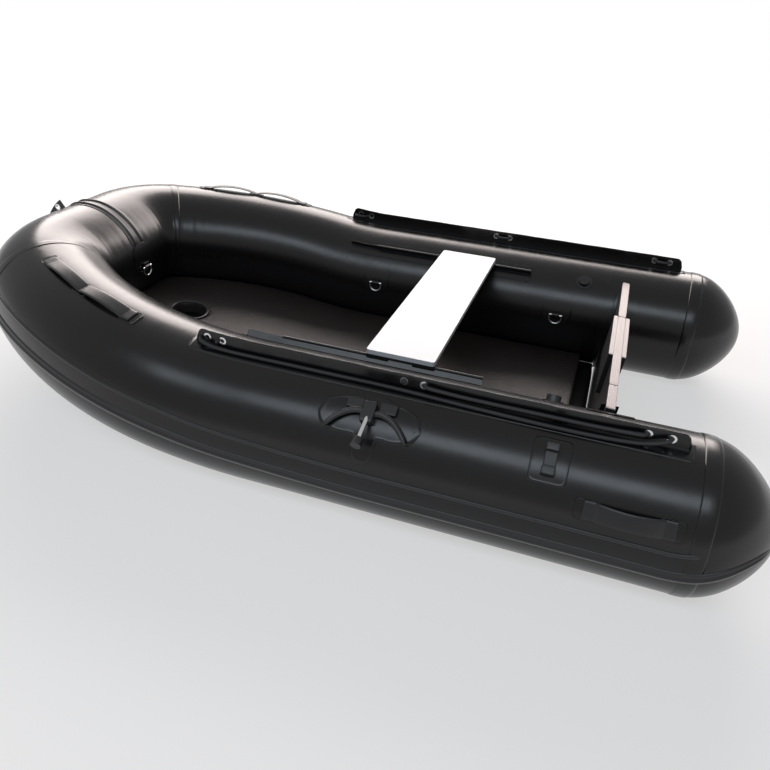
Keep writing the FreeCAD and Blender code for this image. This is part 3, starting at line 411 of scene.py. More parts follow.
def tape_rings(start, finish, proud=0.0012, around=160, along=9):
    """A closed sleeve round the tube: out over the tape's rounded edges, back underneath."""
    t = np.linspace(0, 1, along)
    edge = np.clip(np.minimum(t, 1 - t) * 8, 0, 1) ** 0.5
    over = np.stack([start + (finish - start) * t, edge * proud], -1)
    under = over[::-1] * [1, 0] + [0, -0.001]
    profile = np.concatenate([over, under])
    station = profile[:, 0][:, None] + np.zeros((1, around))
    angle = np.linspace(0, 360, around, endpoint=False)[None, :] + np.zeros((len(profile), 1))
    base = np.where(station < CONE, cone_radius(station), skin(station, angle))
    return on_tube(station, angle, base + profile[:, 1][:, None])


def loop_faces(rows, columns):
    """Quads of a ring of rings: both directions close on themselves."""
    i = np.arange(rows)[:, None]
    j = np.arange(columns)[None, :]
    n, k = (i + 1) % rows, (j + 1) % columns
    corners = [i * columns + j, n * columns + j, n * columns + k, i * columns + k]
    return np.stack([c.ravel() for c in corners], -1)


def pair(name, points, faces, material, replaced=None, body="hull", flip=True):
    """A port piece and its mirrored starboard twin; the twin's faces are turned back round."""
    for side, placed, turn in (("port", points, flip), ("starboard", starboard(points), not flip)):
        nodes = tuple(side + "_" + node for node in replaced) if replaced else ()
        add_faces(side + "_" + name, placed, faces, material, replaced=nodes, flip=turn,
                  body=body)


points, faces = closed_tube(cone_rings())
pair("cone_skin", points, faces, TUBE, replaced=["stern_cone"])
for name, start, finish in (("cone_tape", 0.160, 0.200), ("corner_tape", STARTS[3] - 0.014,
                                                          STARTS[3] + 0.014)):
    rings = tape_rings(start, finish)
    pair(name, rings.reshape(-1, 3), loop_faces(*rings.shape[:2]), TUBE)
print("cones and tapes")

# %% [markdown]
# Two rubber strakes run right round the hull. The lower one is broad with a raised rib, the upper one
# a thin bead. They are profiles swept along the tube at an angle that changes with the station: low
# amidships, rising to the bow and curling up over the stern cones.

# %% Rubbing strakes
def strake_angle(station):
    """Angle of the lower strake: level amidships, then eased up towards the bow and round the cone."""
    bow = np.clip((station - 0.9) / 1.1, 0, 1)
    tail = np.clip(1 - station / 0.24, 0, 1)
    return -11 + 13 * bow * bow * (3 - 2 * bow) + 26 * tail ** 1.6


def skin_radius(station):
    """Skin of the cone or of the tube."""
    return np.where(station < CONE, np.maximum(cone_radius(station), 0.004), RADIUS)


def strake_rings(start, finish, raised, width, profile, along=360):
    """Sections of (arc, height) pairs carried along the tube at a given angle above the strake line."""
    station = np.linspace(start, finish, along)[:, None] + np.zeros((1, len(profile)))
    arc = profile[:, 0][None, :] * width
    taper = np.clip((station - start) / 0.03 + 0.25, 0, 1)
    angle = strake_angle(station) + raised + np.degrees(arc / RADIUS)
    return on_tube(station, angle, skin_radius(station) + profile[:, 1][None, :] * taper)


def crowned(count, height, rib):
    """Closed section of a strake: a low crown with a rounded rib along its middle."""
    t = np.linspace(-0.5, 0.5, count)
    crown = height * np.clip(1 - (2 * t) ** 4, 0, 1) ** 0.7
    over = np.stack([t, crown + rib * np.exp(-(t / 0.16) ** 2)], -1)
    under = np.stack([t[::-1], np.full(count, -0.0015)], -1)
    return np.concatenate([over, under])


lower_profile = crowned(17, 0.0040, 0.0050)
upper_profile = crowned(9, 0.0030, 0.0008)
strakes = []
for raised, width, profile, start in ((0, 0.034, lower_profile, 0.020), (19, 0.011, upper_profile, 0.175)):
    half = strake_rings(start, END, raised, width, profile)
    strakes.append(np.concatenate([half, starboard(half[:-1])[::-1]]))
for name, rings, nodes in (("lower_strake", strakes[0], ("rub_strakes",)),
                           ("upper_strake", strakes[1], ())):
    points, faces = closed_tube(rings)
    add_faces(name, points, faces, STRAKE, replaced=nodes, flip=False)

# %% [markdown]
# Everything glued to the skin starts as a pad: a patch with a round or squared outline and a feathered
# edge. Its points are rings growing from the middle, so one function serves ring patches, handle ends,
# the oarlock's base and the valve flanges. The outline is a superellipse: power 2 is an ellipse and
# higher powers square it off.

# %% Pads on the skin
def pad_rings(station, angle, half_length, half_arc, height, power=2.0, rim=0.0, around=96,
              rings=14, crown=0.0, corners=None):
    """Rings from the middle out over the feathered edge, then back underneath the patch.

    The outline is a superellipse, or a closed smooth line through `corners`, pairs of a turn in
    degrees and a reach, for a patch that is cut to a fancier shape.
    """
    turn = np.linspace(0, 2 * np.pi, around, endpoint=False)
    c, d = np.cos(turn), np.sin(turn)
    outline = (np.abs(c) ** power + np.abs(d) ** power) ** (-1 / power)
    if corners:
        outline = np.interp(np.degrees(turn), *np.transpose(corners), period=360)
    r = np.concatenate([np.linspace(0.03, 0.86, rings - 6), [0.90, 0.93, 0.96, 0.98, 0.995, 1.0]])
    edge = np.clip((1 - r) / 0.05, 0, 1) ** 0.5
    bead = rim * np.exp(-((r - 0.93) / 0.022) ** 2)
    top = height * edge + bead + crown * (1 - r ** 2)
    r = np.concatenate([r, r[::-1]])
    top = np.concatenate([top, np.full(rings, -0.0012)])
    s = station + half_length * r[:, None] * (outline * c)[None, :]
    arc = half_arc * r[:, None] * (outline * d)[None, :]
    return on_tube(s, angle + np.degrees(arc / RADIUS), skin_radius(s) + top[:, None])


def pad_pair(name, slot, material, replaced=None, **sizes):
    points, faces = closed_tube(pad_rings(**sizes))
    pair(name, points, faces, material, replaced=replaced, flip=True)


# %% Straps
def strap_rings(path, across, width, wall, power=5.0, around=20):
    """A flat strap: a squared section whose width runs along `across` and its wall off the skin."""
    along = np.gradient(path, axis=0)
    along /= np.linalg.norm(along, axis=1, keepdims=True)
    away = np.cross(along, across)
    away /= np.linalg.norm(away, axis=1, keepdims=True)
    turn = np.linspace(0, 2 * np.pi, around, endpoint=False)
    outline = (np.abs(np.cos(turn)) ** power + np.abs(np.sin(turn)) ** power) ** (-1 / power)
    a = (outline * np.cos(turn))[None, :, None] * across[:, None] * width / 2
    b = (outline * np.sin(turn))[None, :, None] * away[:, None] * wall / 2
    return path[:, None] + a + b


def handle(name, aft, forward, angle, humps, lift, width, node):
    """A strap over its glued ends: a height of `lift` times a flattened sine for each arch."""
    s = np.linspace(aft + 0.02, forward - 0.02, 121)
    t = np.clip((s - aft - 0.045) / (forward - aft - 0.09), 0, 1) * humps
    height = lift * np.abs(np.sin(np.pi * t)) ** 0.75
    tilt = angle + 0 * s
    path = on_tube(s, tilt, RADIUS + 0.0035 + height)
    across = on_tube(s, tilt + 4, RADIUS) - on_tube(s, tilt - 4, RADIUS)
    across /= np.linalg.norm(across, axis=1, keepdims=True)
    slim = 1 - 0.10 * np.sin(np.pi * t / humps)
    rings = strap_rings(path, across, width, 0.0042)
    rings = path[:, None] + (rings - path[:, None]) * slim[:, None, None]
    points, faces = closed_tube(rings)
    pair(name, points, faces, WEBBING, replaced=[node], flip=False)
    ends = [aft + 0.028, forward - 0.028]
    if humps == 2:
        ends.insert(1, (aft + forward) / 2)
    for index, middle in enumerate(ends):
        pad_pair(f"{name}_end_{index + 1}", "patch_fabric", PATCH, station=middle, angle=angle,
                 half_length=0.027, half_arc=width / 2 + 0.003, height=0.0022, power=7.0, rim=0.0008)


handle("bow_strap", 1.650, 2.075, 78, 2, 0.012, 0.042, "bow_handle")
handle("stern_strap", 0.214, 0.446, 24, 1, 0.019, 0.044, "stern_handle")

# %% [markdown]
# The bench tracks and the lifelines sit on folded fabric: a glued base with an upright fin. The fin is a
# thin slab whose top edge is the rounded fold. A single grid of section points carried along the tube
# makes it, with the ends rounded off as the real fabric is cut.

# %% Lifeline fins
FIN_AFT, FIN_FORE = 0.232, 1.473
FIN_TOP = RADIUS + 0.043
FIN_SIDE = 0.033


def fin_rings(along=200, wall=0.0042):
    """Sections of the fin and its base, in the tube's own across and up directions."""
    s = np.linspace(FIN_AFT, FIN_FORE, along)
    point, fore, out, up = centreline(s)
    foot = np.sqrt(RADIUS ** 2 - FIN_SIDE ** 2)
    round_off = np.clip(np.minimum(s - FIN_AFT, FIN_FORE - s) / 0.022, 0, 1)
    fold = np.sqrt(1 - (1 - round_off) ** 2)
    wave = 0.0007 * np.sin(s * 41) + 0.0005 * np.sin(s * 97 + 1)
    top = foot + (FIN_TOP - RADIUS) * (0.35 + 0.65 * fold)
    turn = np.linspace(0, np.pi, 9)
    flank = np.linspace(1, 0, 8)[1:-1]
    left = np.stack([np.full(6, -1.0), flank], -1)
    cap = np.stack([np.cos(turn), 1 + 0 * turn], -1)
    right = np.stack([np.full(6, 1.0), flank[::-1]], -1)
    section = np.concatenate([[[1.5, 0]], right, cap, left, [[-1.5, 0]], [[-1.5, -0.05], [1.5, -0.05]]])
    rise = np.concatenate([np.zeros(7), np.sin(turn), np.zeros(9)])
    across = FIN_SIDE + section[:, 0][None, :] * wall / 2 + wave[:, None] * section[:, 1][None, :]
    high = foot - 0.001 + (top - foot)[:, None] * section[:, 1][None, :] + rise[None, :] * wall / 2
    return point[:, None] + out[:, None] * across[..., None] + up[:, None] * high[..., None]


points, faces = closed_tube(fin_rings())
pair("lifeline_fin", points, faces, PATCH, replaced=["lifeline_strip"], flip=False)


def base_rings(start, finish, angle, half_arc, height, along=120, around=24):
    """A long tape: a squared section laid on the skin, feathered at its long edges."""
    t = np.linspace(-1, 1, around)
    over = np.stack([t * half_arc, height * np.clip((1 - np.abs(t)) * 6, 0, 1) ** 0.5], -1)
    under = over[::-1] * [1, 0] + [0, -0.001]
    profile = np.concatenate([over, under])
    s = np.linspace(start, finish, along)[:, None] + np.zeros((1, len(profile)))
    turn = angle + np.degrees(profile[:, 0] / RADIUS)[None, :] + 0 * s
    return on_tube(s, turn, RADIUS + profile[:, 1][None, :])


fin_angle = math.degrees(math.acos(FIN_SIDE / RADIUS))
points, faces = closed_tube(base_rings(FIN_AFT - 0.012, FIN_FORE + 0.016, fin_angle, 0.029, 0.0018))
pair("lifeline_base", points, faces, PATCH, flip=True)

# %% [markdown]
# Parts that stand on the skin need a flat local frame: along the tube, up round it, and straight out.
# A block there is a rounded box, worked out as a superellipsoid: a sphere whose sines and cosines are
# raised to a small power, so its faces are nearly flat and its edges are moulded round.

# %% Moulded blocks
def seat(station, angle):
    """Point on the skin and the directions forward, up round the tube and outward."""
    point, fore, out, up = (item[0] for item in centreline(np.array([station])))
    away = out * math.cos(math.radians(angle)) + up * math.sin(math.radians(angle))
    return point + away * RADIUS, fore, np.cross(away, fore) * -1, away


def power_of(value, exponent):
    """A signed power."""
    return np.sign(value) * np.abs(value) ** exponent


def block_rings(place, middle, half, exponent=0.22, rows=24, around=40):
    """Superellipsoid in a seat's frame: powers of sines and cosines scaled by the half sizes."""
    origin, fore, high, away = place
    tip = np.linspace(-np.pi / 2 + 0.02, np.pi / 2 - 0.02, rows)[:, None]
    turn = np.linspace(0, 2 * np.pi, around, endpoint=False)[None, :]
    x = half[0] * power_of(np.cos(tip), exponent) * power_of(np.cos(turn), exponent)
    y = half[1] * power_of(np.cos(tip), exponent) * power_of(np.sin(turn), exponent)
    z = half[2] * power_of(np.sin(tip), exponent) + 0 * turn
    local = np.stack([x, y, z], -1) + np.array(middle)
    return origin + local @ np.stack([fore, high, away])


def rope_like(line, radius, around=16):
    """Rings round a line: axes across the tangent, with a radius that may change along it."""
    line = np.asarray(line, float)
    tangent = np.gradient(line, axis=0)
    tangent /= np.linalg.norm(tangent, axis=1, keepdims=True)
    guide = np.array([0.13, 0.29, 0.95])
    side = np.cross(tangent, guide)
    side /= np.linalg.norm(side, axis=1, keepdims=True)
    top = np.cross(side, tangent)
    turn = np.linspace(0, 2 * np.pi, around, endpoint=False)
    ring = side[:, None] * np.cos(turn)[None, :, None] + top[:, None] * np.sin(turn)[None, :, None]
    return line[:, None] + ring * (radius + np.zeros(len(line)))[:, None, None]


def bowed(points, count=40):
    """A smooth line through points: Catmull-Rom cubics, worked out for all of them at once."""
    p = np.asarray(points, float)
    p = np.concatenate([[2 * p[0] - p[1]], p, [2 * p[-1] - p[-2]]])
    t = np.linspace(0, len(p) - 3, count)
    i = np.minimum(t.astype(int), len(p) - 4)
    u = (t - i)[:, None]
    a, b, c, d = p[i], p[i + 1], p[i + 2], p[i + 3]
    return 0.5 * (2 * b + (c - a) * u + (2 * a - 5 * b + 4 * c - d) * u ** 2
                  + (3 * b - a - 3 * c + d) * u ** 3)


def in_seat(place, points):
    """Local points (forward, up round the tube, out) to the boat's frame."""
    origin, fore, high, away = place
    return origin + np.asarray(points, float) @ np.stack([fore, high, away])


# %% [markdown]
# The oarlock is one rubber moulding on a butterfly-shaped patch: two shoulder plates, a hub and two
# wings that curve down and keep the oar's collar in place. A bright pin with a black knob hangs from
# the hub. The patch's outline is the only listed line; the rest are blocks and swept tubes.

# %% Oarlock
BUTTERFLY = [(0, 0.118), (14, 0.070), (30, 0.052), (90, 0.026), (150, 0.052), (166, 0.070),
             (180, 0.118), (196, 0.134), (208, 0.132), (222, 0.110), (236, 0.088), (247, 0.080),
             (253, 0.088), (260, 0.128), (265, 0.140), (275, 0.140), (280, 0.128), (287, 0.088),
             (293, 0.080), (304, 0.088), (318, 0.110), (332, 0.132), (344, 0.134)]
OAR_STATION, OAR_ANGLE = 0.938, 58
OAR = seat(OAR_STATION, OAR_ANGLE)
points, faces = closed_tube(pad_rings(OAR_STATION, OAR_ANGLE, 1.0, 1.0, 0.0020, rim=0.0007, around=240,
                                      corners=BUTTERFLY))
pair("oarlock_butterfly", points, faces, PATCH, replaced=["oarlock_patch"])
hub, hub_faces = closed_tube(block_rings(OAR, (0.002, -0.018, 0.011), (0.016, 0.027, 0.012)))
pair("oarlock_hub", hub, hub_faces, PLASTIC, replaced=["oarlock"], flip=False)
for name, middle in (("fore", 0.041), ("aft", -0.041)):
    points, faces = closed_tube(block_rings(OAR, (middle, 0.001, 0.006), (0.021, 0.014, 0.007)))
    pair("oarlock_plate_" + name, points, faces, PLASTIC, flip=False)
for name, way in (("fore", 1), ("aft", -1)):
    line = bowed([(way * 0.010, -0.018, 0.010), (way * 0.030, -0.017, 0.012),
                  (way * 0.055, -0.026, 0.011), (way * 0.080, -0.046, 0.009),
                  (way * 0.103, -0.074, 0.004)])
    bulk = 0.0085 - 0.0030 * np.linspace(0, 1, 40) ** 2
    bulk[-4:] = [0.0052, 0.0044, 0.0032, 0.0014]
    points, faces = closed_tube(rope_like(in_seat(OAR, line), bulk))
    pair("oarlock_wing_" + name, points, faces, PLASTIC, flip=False)

# %% [markdown]
# A rubber clip on a square patch holds the stowed oar. It is three rounded blocks: a foot, and two jaws
# that stand up at its ends.

# %% Oar clip
CLIP_STATION, CLIP_ANGLE = 0.514, 50
CLIP = seat(CLIP_STATION, CLIP_ANGLE)
points, faces = closed_tube(pad_rings(CLIP_STATION, CLIP_ANGLE, 0.043, 0.054, 0.0016, power=9.0,
                                      rim=0.0009, around=120))
pair("oar_clip_patch", points, faces, PATCH, replaced=["oar_clip"])
for name, middle, half in (("foot", (0, 0, 0.005), (0.014, 0.036, 0.006)),
                           ("top_jaw", (0, 0.027, 0.013), (0.015, 0.009, 0.012)),
                           ("low_jaw", (0, -0.026, 0.012), (0.0155, 0.011, 0.011))):
    points, faces = closed_tube(block_rings(CLIP, middle, half, 0.28))
    pair("oar_clip_" + name, points, faces, PLASTIC, flip=False)

# %% [markdown]
# The transom is a coated plywood board between two motor pads. Its faces are dark, but the sealed top
# edges are pale, as sanded and varnished plywood is. Thin rounded caps along the board's raked top give
# that bright line. Blocks in the board's own frame make them, tilted by the rake.

# %% Transom caps
RAKE = math.radians(5)
RAKED = (np.array([STERN + 0.404, 0, 0.357]), np.array([math.cos(RAKE), 0, math.sin(RAKE)]),
         np.array([0, 1.0, 0]), np.array([-math.sin(RAKE), 0, math.cos(RAKE)]))
caps = (("board_cap_port", (0, 0.356, -0.001), (0.0114, 0.058, 0.0032)),
        ("board_cap_middle", (0, 0.083, -0.001), (0.0114, 0.214, 0.0032)),
        ("board_cap_starboard", (0, -0.274, -0.001), (0.0114, 0.142, 0.0032)),
        ("inner_pad_cap", (0.0175, 0, -0.001), (0.0060, 0.131, 0.0030)),
        ("outer_pad_cap", (-0.0175, 0, -0.001), (0.0060, 0.131, 0.0030)))


def painted_edge(name):
    """Sealed plywood edge: pale with faint plies along its length."""
    finish = Finish(name, IOR=1.45)
    plies = finish.node("TexWave", Vector=finish.place((1, 0.02, 1)), Scale=60.0, Distortion=1.5)
    finish.feed(Base_Color=finish.colours(plies, (0.40, 0.33, 0.31), (0.49, 0.43, 0.41)),
                Roughness=plies * 0.1 + 0.34)
    finish.bump(plies * 0.0001, 1.0)
    return finish.material


EDGE = painted_edge("sealed edge")
for name, middle, half in caps:
    points, faces = closed_tube(block_rings(RAKED, middle, half, 0.16))
    add_faces(name, points, faces, EDGE, flip=False)

# %% [markdown]
# Each ring hangs from a webbing loop on a round patch. A thin feathered disc with a raised rim is laid
# over each patch. The loops keep their CAD shape and are softened further down.

# %% Ring patches
RING_DROP = math.degrees(0.011 / RADIUS)
DISC = {"half_length": 0.050, "half_arc": 0.050, "height": 0.0016, "rim": 0.0008}
for name, station in (("forward_ring", 1.271), ("aft_ring", 0.610)):
    pad_pair(name + "_disc", "patch_fabric", PATCH, station=station, angle=167 - RING_DROP, **DISC)
points, faces = closed_tube(pad_rings(END, 175 - RING_DROP, **DISC))
add_faces("bow_ring_disc", points, faces, PATCH)

# %% [markdown]
# A chafe strip runs over the bow's middle, where the anchor line rubs: a greyer band with two raised
# ribs that taper off towards the cockpit. Here the section runs round the tube and is carried across it,
# so the grid is angle by width.

# %% Bow chafe strip
def across_bow(low, high, half_width, section, count=90):
    """A strip round the bow tube: each (width, height) of the section carried over a range of angles."""
    angle = np.linspace(low, high, count)[:, None] + 0 * section[:, 0][None, :]
    t = (angle - low) / (high - low)
    ends = np.clip(np.minimum(t, 1 - t) * 12, 0, 1) ** 0.5
    s = END + section[:, 0][None, :] * half_width + 0 * angle
    return on_tube(s, angle, RADIUS + section[:, 1][None, :] * np.where(section[:, 1] > 0, ends, 1))


width = np.linspace(-1, 1, 61)
ribs = 0.0052 * sum(np.exp(-np.abs((width - m) / 0.15) ** 3) for m in (-0.52, 0.52))
over = np.stack([width, 0.0018 * np.clip((1 - np.abs(width)) * 14, 0, 1) ** 0.5 + ribs], -1)
section = np.concatenate([over, np.stack([width[::-1], np.full(61, -0.0012)], -1)])
points, faces = closed_tube(across_bow(60, 150, 0.034, section))
add_faces("bow_chafe_band", points, faces, STRAKE, replaced=("bow_chafe_strip",),
          flip=False)

# %% [markdown]
# The floor is two sheets of cloth held apart by thousands of threads, so it is flat and hard. The well
# over the keel's valve has a raised rubber rim, placed by a straight-line fit to the well's top edge.

# %% Floor well rim
WELL = np.array([STERN + 1.857, 0.0, 0.0])
WELL_EDGE = 0.066
RIM_RADIUS, RIM_WIRE = 0.063, 0.005


def rim_rings(radius, wire, height, tilt, around=120, section=16):
    """A ring of round section: a circle of circles, tilted with the floor."""
    turn = np.linspace(0, 2 * np.pi, around, endpoint=False)[:, None]
    spin = np.linspace(0, 2 * np.pi, section, endpoint=False)[None, :]
    r = radius + wire * np.cos(spin)
    x, y, z = r * np.cos(turn), r * np.sin(turn), wire * 0.6 * np.sin(spin) + 0 * turn
    return WELL + np.stack([x, y, height + z + x * math.tan(tilt)], -1)


floor_points = np.empty(len(frame["nodes"]["air_floor"].data.vertices) * 3)
frame["nodes"]["air_floor"].data.vertices.foreach_get("co", floor_points)
floor_points = floor_points.reshape(-1, 3)
near_well = np.hypot(*(floor_points[:, :2] - WELL[:2]).T) < WELL_EDGE
top_rim = floor_points[near_well]
upper = top_rim[top_rim[:, 2] > top_rim[:, 2].mean()]
slope, level = np.polyfit(upper[:, 0] - WELL[0], upper[:, 2], 1)
rings = rim_rings(RIM_RADIUS, RIM_WIRE, float(level) + 0.001, math.atan(float(slope)))
add_faces("floor_well_rim", rings.reshape(-1, 3), loop_faces(*rings.shape[:2]), PLASTIC,
          flip=False)
print("well rim at", round(float(level), 3), "slope", round(float(slope), 3))

# %% [markdown]
# Glued cloth and air-filled slabs have no sharp edges. Each keeps its CAD outline: a merged copy of the
# node's mesh is either rebuilt as small even quads and relaxed, which rounds a thick slab's rim, or gets
# a narrow bevel on its edges, which suits a fold or a strap only a few millimetres thick.

# %% Softened cloth
def merged_copy(name, node, material):
    """A copy of a node's mesh with the split corner points joined, standing for that node."""
    mesh = bpy.data.meshes.new(name)
    body = bmesh.new()
    body.from_mesh(frame["nodes"][node].data)
    bmesh.ops.remove_doubles(body, verts=body.verts, dist=0.00002)
    bmesh.ops.recalc_face_normals(body, faces=body.faces)
    for face in body.faces:
        face.material_index = 0
    body.to_mesh(mesh)
    body.free()
    item = bpy.data.objects.new(name, mesh)
    bpy.context.scene.collection.objects.link(item)
    mesh.materials.clear()
    mesh.materials.append(material)
    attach(item, "hull")
    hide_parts(node)
    return item


def relaxed(name, node, material, cell, steps):
    """A slab rebuilt on a grid of cells and smoothed, so its rim is round and its faces stay flat."""
    item = merged_copy(name, node, material)
    remesh = item.modifiers.new("even quads", "REMESH")
    remesh.mode = "VOXEL"
    remesh.voxel_size = cell
    remesh.use_smooth_shade = True
    smooth = item.modifiers.new("rounded rim", "SMOOTH")
    smooth.factor = 0.5
    smooth.iterations = steps


def beveled(name, node, material, width):
    """Cloth a few millimetres thick: its edges are rounded by a narrow bevel."""
    item = merged_copy(name, node, material)
    bevel = item.modifiers.new("soft edge", "BEVEL")
    bevel.width = width
    bevel.segments = 2
    bevel.use_clamp_overlap = False
    bevel.limit_method = "ANGLE"
    bevel.angle_limit = math.radians(50)
    item.data.shade_smooth()
    normals = item.modifiers.new("flat faces", "WEIGHTED_NORMAL")
    normals.keep_sharp = False


SMOOTHING = 3
EDGE_WIDTH = 0.0004
relaxed("floor_slab", "air_floor", FLOOR, 0.008, SMOOTHING)
relaxed("bottom_shell", "hull_bottom", BOTTOM, 0.010, SMOOTHING)
beveled("tow_tab_cloth", "tow_tab", PATCH, 0.0006)
beveled("bow_ring_cloth", "bow_ring_patch", PATCH, EDGE_WIDTH)
for side in ("port", "starboard"):
    for part, label in (("bench_track", "bench_track_cloth"), ("transom_holder", "transom_channel"),
                        ("forward_ring_patch", "forward_ring_cloth"),
                        ("aft_ring_patch", "aft_ring_cloth")):
        beveled(f"{side}_{label}", f"{side}_{part}", PATCH, EDGE_WIDTH)
print("cloth softened")

# %% [markdown]
# The lifelines are braided rope, threaded through the eyelets. The route's points are the CAD's, joined
# by a smooth spline, and a mesh tube follows it so that the braid can run along its length.

# %% Lifelines
EYELET_Z = 0.403
FIN_Y = 0.558
GAP = 0.050
ROPE_RADIUS = 0.005
MIDDLES = [FIN_AFT + 0.068, (FIN_AFT + FIN_FORE) / 2 + 0.006, FIN_FORE - 0.062]
aft_1, aft_2, mid_1, mid_2, fore_1, fore_2 = [m + s * GAP / 2 for m in MIDDLES for s in (-1, 1)]
ROUTE = [
    (fore_1, 12, 0), (fore_1, -16, 0), (fore_2, -16, 0), (fore_2, 16, 0),
    (fore_2 - .032, 14, -14), (fore_2 - .080, 12, -19), (fore_2 - .160, 11, -20),
    (fore_2 - .270, 12, -19), (fore_2 - .390, 11, -20), (fore_2 - .500, 12, -19),
    (fore_2 - .600, 13, -21), (fore_2 - .700, 17, -22), (fore_2 - .810, 21, -22.5),
    (fore_2 - .920, 24, -23), (fore_2 - 1.010, 23, -22.5), (fore_2 - 1.080, 19, -21),
    (aft_1 + .040, 16, -16), (aft_1, 16, 0), (aft_1, -16, 0), (aft_2, -16, 0),
    (aft_2, 14, 1), (aft_2 + .045, 11, -3), (aft_2 + .120, 10, -6), (aft_2 + .220, 11, -5),
    (aft_2 + .320, 10, -6), (aft_2 + .410, 11, -5), (mid_1 - .045, 11, -3), (mid_1, 14, 1),
    (mid_1, -16, 0), (mid_2, -16, 0), (mid_2, 12, 0),
]


def smooth_line(points):
    """Points along the quadratic NURBS spline of a route, read from a curve with no bevel."""
    curve = bpy.data.curves.new("route", "CURVE")
    curve.dimensions = "3D"
    curve.resolution_u = 10
    spline = curve.splines.new("NURBS")
    spline.points.add(len(points) - 1)
    spline.points.foreach_set("co", np.c_[points, np.ones(len(points))].ravel())
    spline.use_endpoint_u = True
    spline.order_u = 3
    holder = bpy.data.objects.new("route", curve)
    mesh = bpy.data.meshes.new_from_object(holder)
    line = np.empty(len(mesh.vertices) * 3)
    mesh.vertices.foreach_get("co", line)
    bpy.data.objects.remove(holder)
    return line.reshape(-1, 3)


route = np.array(ROUTE)
rope_points = np.stack([STERN + route[:, 0], FIN_Y + route[:, 1] / 1000,
                        EYELET_Z + route[:, 2] / 1000], -1)
for name, turned in (("port", rope_points), ("starboard", starboard(rope_points))):
    points, faces = closed_tube(rope_like(smooth_line(turned), ROPE_RADIUS, 14))
    add_faces(name + "_lifeline_braid", points, faces, ROPE,
              replaced=(name + "_lifeline",))

# %% [markdown]
# The stage is a wide pale floor under a white sky, which a reflection shows less brightly. The floor is
# nearly white paper that keeps the boat's shadow. The light that shapes the black skin is one long
# softbox beyond the boat, which lays a highlight along the tops of the tubes, with a weaker cool one
# high on the camera's side. Big lamps are used because a satin skin mirrors the lamp's size, not its
# power.

# %% Stage
HALF_FLOOR = 16.0
corners = HALF_FLOOR * np.array([[-1, -1, 0], [1, -1, 0], [1, 1, 0], [-1, 1, 0]])
floor_mesh = bpy.data.meshes.new("studio_floor")
floor_mesh.from_pydata(corners.tolist(), [], [(0, 1, 2, 3)])
floor = bpy.data.objects.new("studio_floor", floor_mesh)
bpy.context.scene.collection.objects.link(floor)

paper = Finish("studio paper", Roughness=0.9)
mottle = paper.node("TexNoise", Vector=paper.place(), Scale=2.0)
paper.feed(Base_Color=paper.colours(mottle, (0.90, 0.90, 0.90), (0.92, 0.92, 0.92)))
rays = paper.tree.nodes.new("ShaderNodeLightPath")
seen = Value(paper.tree, rays.outputs["Is Camera Ray"])
mirrored = Value(paper.tree, rays.outputs["Is Glossy Ray"])
through = Value(paper.tree, rays.outputs["Is Transmission Ray"])
glow = paper.node("Emission", Color=(1, 1, 1, 1), Strength=1.0)
blend = paper.tree.nodes.new("ShaderNodeMixShader")
where = paper.node("TexCoord", output="Object")
away = paper.node("VectorMath", output="Value", settings={"operation": "LENGTH"}, Vector=where)
GLOW_START, GLOW_WIDTH, NEAR_GLOW = 1.5, 1.6, 0.55
far = ((away - GLOW_START) / GLOW_WIDTH).math("MAXIMUM", 0.0).math("MINIMUM", 1.0)
lit = (seen + mirrored + through).math("MINIMUM", 1.0)
plug(paper.tree, blend.inputs[0], lit * (far * 0.45 + NEAR_GLOW))
paper.tree.links.new(paper.shader.outputs[0], blend.inputs[1])
plug(paper.tree, blend.inputs[2], glow)
paper.tree.links.new(blend.outputs[0], paper.tree.nodes["Material Output"].inputs[0])
floor.data.materials.append(paper.material)

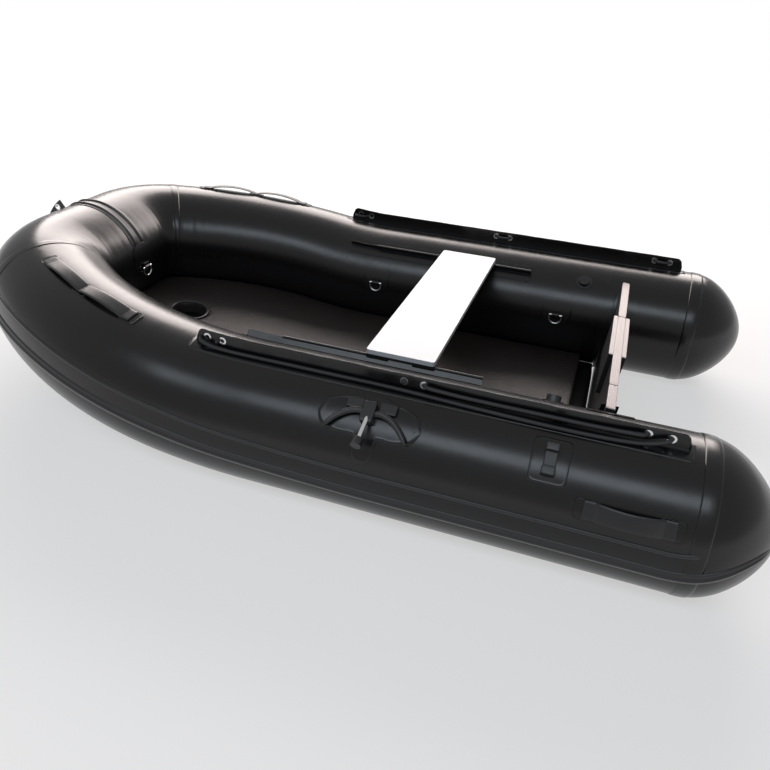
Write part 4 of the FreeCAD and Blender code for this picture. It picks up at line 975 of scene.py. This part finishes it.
# %% Sky
world = bpy.data.worlds.new("studio")
bpy.context.scene.world = world
world.use_nodes = True
sky = world.node_tree
background = sky.nodes["Background"]
background.inputs["Color"].default_value = (1, 1, 1, 1)
paths = sky.nodes.new("ShaderNodeLightPath")
camera_ray = Value(sky, paths.outputs["Is Camera Ray"])
glossy_ray = Value(sky, paths.outputs["Is Glossy Ray"])
clear_ray = Value(sky, paths.outputs["Is Transmission Ray"])
SKY_LEVEL = 0.10
MIRRORED_SKY = 0.45
shown = (camera_ray + glossy_ray * MIRRORED_SKY + clear_ray).math("MINIMUM", 1.0)
plug(sky, background.inputs["Strength"], shown * (1 - SKY_LEVEL) + SKY_LEVEL)


# %% Lamps
def lamp(name, place, aim, width, height, power, colour=(1, 1, 1)):
    """A soft rectangular lamp at a place, turned to face a point."""
    light = bpy.data.lights.new(name, "AREA")
    light.shape = "RECTANGLE"
    light.size = width
    light.size_y = height
    light.energy = power
    light.color = colour
    item = bpy.data.objects.new(name, light)
    back = np.array(place, float) - np.array(aim, float)
    back /= np.linalg.norm(back)
    right = np.cross([0, 0, 1.0], back)
    right /= np.linalg.norm(right)
    up = np.cross(back, right)
    matrix = np.eye(4)
    matrix[:3, 0], matrix[:3, 1], matrix[:3, 2], matrix[:3, 3] = right, up, back, place
    item.matrix_world = Matrix(matrix.tolist())
    bpy.context.scene.collection.objects.link(item)


lamp("tall softbox", (1.0, -3.4, 2.3), (0.1, 0.1, 0.3), 7.0, 2.0, 330, (1.0, 0.90, 0.865))
lamp("cool top box", (-0.1, 3.1, 3.6), (0.0, 0.6, 0.2), 4.6, 1.1, 62, (0.80, 0.90, 1.0))

# %% The camera
EYE = np.array([0.49815 + STERN, 1.92805, 1.26372])
RIGHT = np.array([-0.943976, -0.327082, 0.043887])
DOWN = np.array([-0.207146, 0.483737, -0.850346])
AHEAD = np.array([0.256903, -0.811798, -0.524390])
camera = bpy.data.objects.new("camera", bpy.data.cameras.new("camera"))
SENSOR, FOCAL, FRAME_WIDTH = 36.0, 696.54, 770
camera.data.sensor_width = SENSOR
camera.data.lens = SENSOR * FOCAL / FRAME_WIDTH
pose = np.eye(4)
pose[:3, 0], pose[:3, 1], pose[:3, 2], pose[:3, 3] = RIGHT, -DOWN, -AHEAD, EYE
camera.matrix_world = Matrix(pose.tolist())
bpy.context.scene.collection.objects.link(camera)
bpy.context.scene.camera = camera
bpy.context.scene.view_settings.view_transform = "Standard"
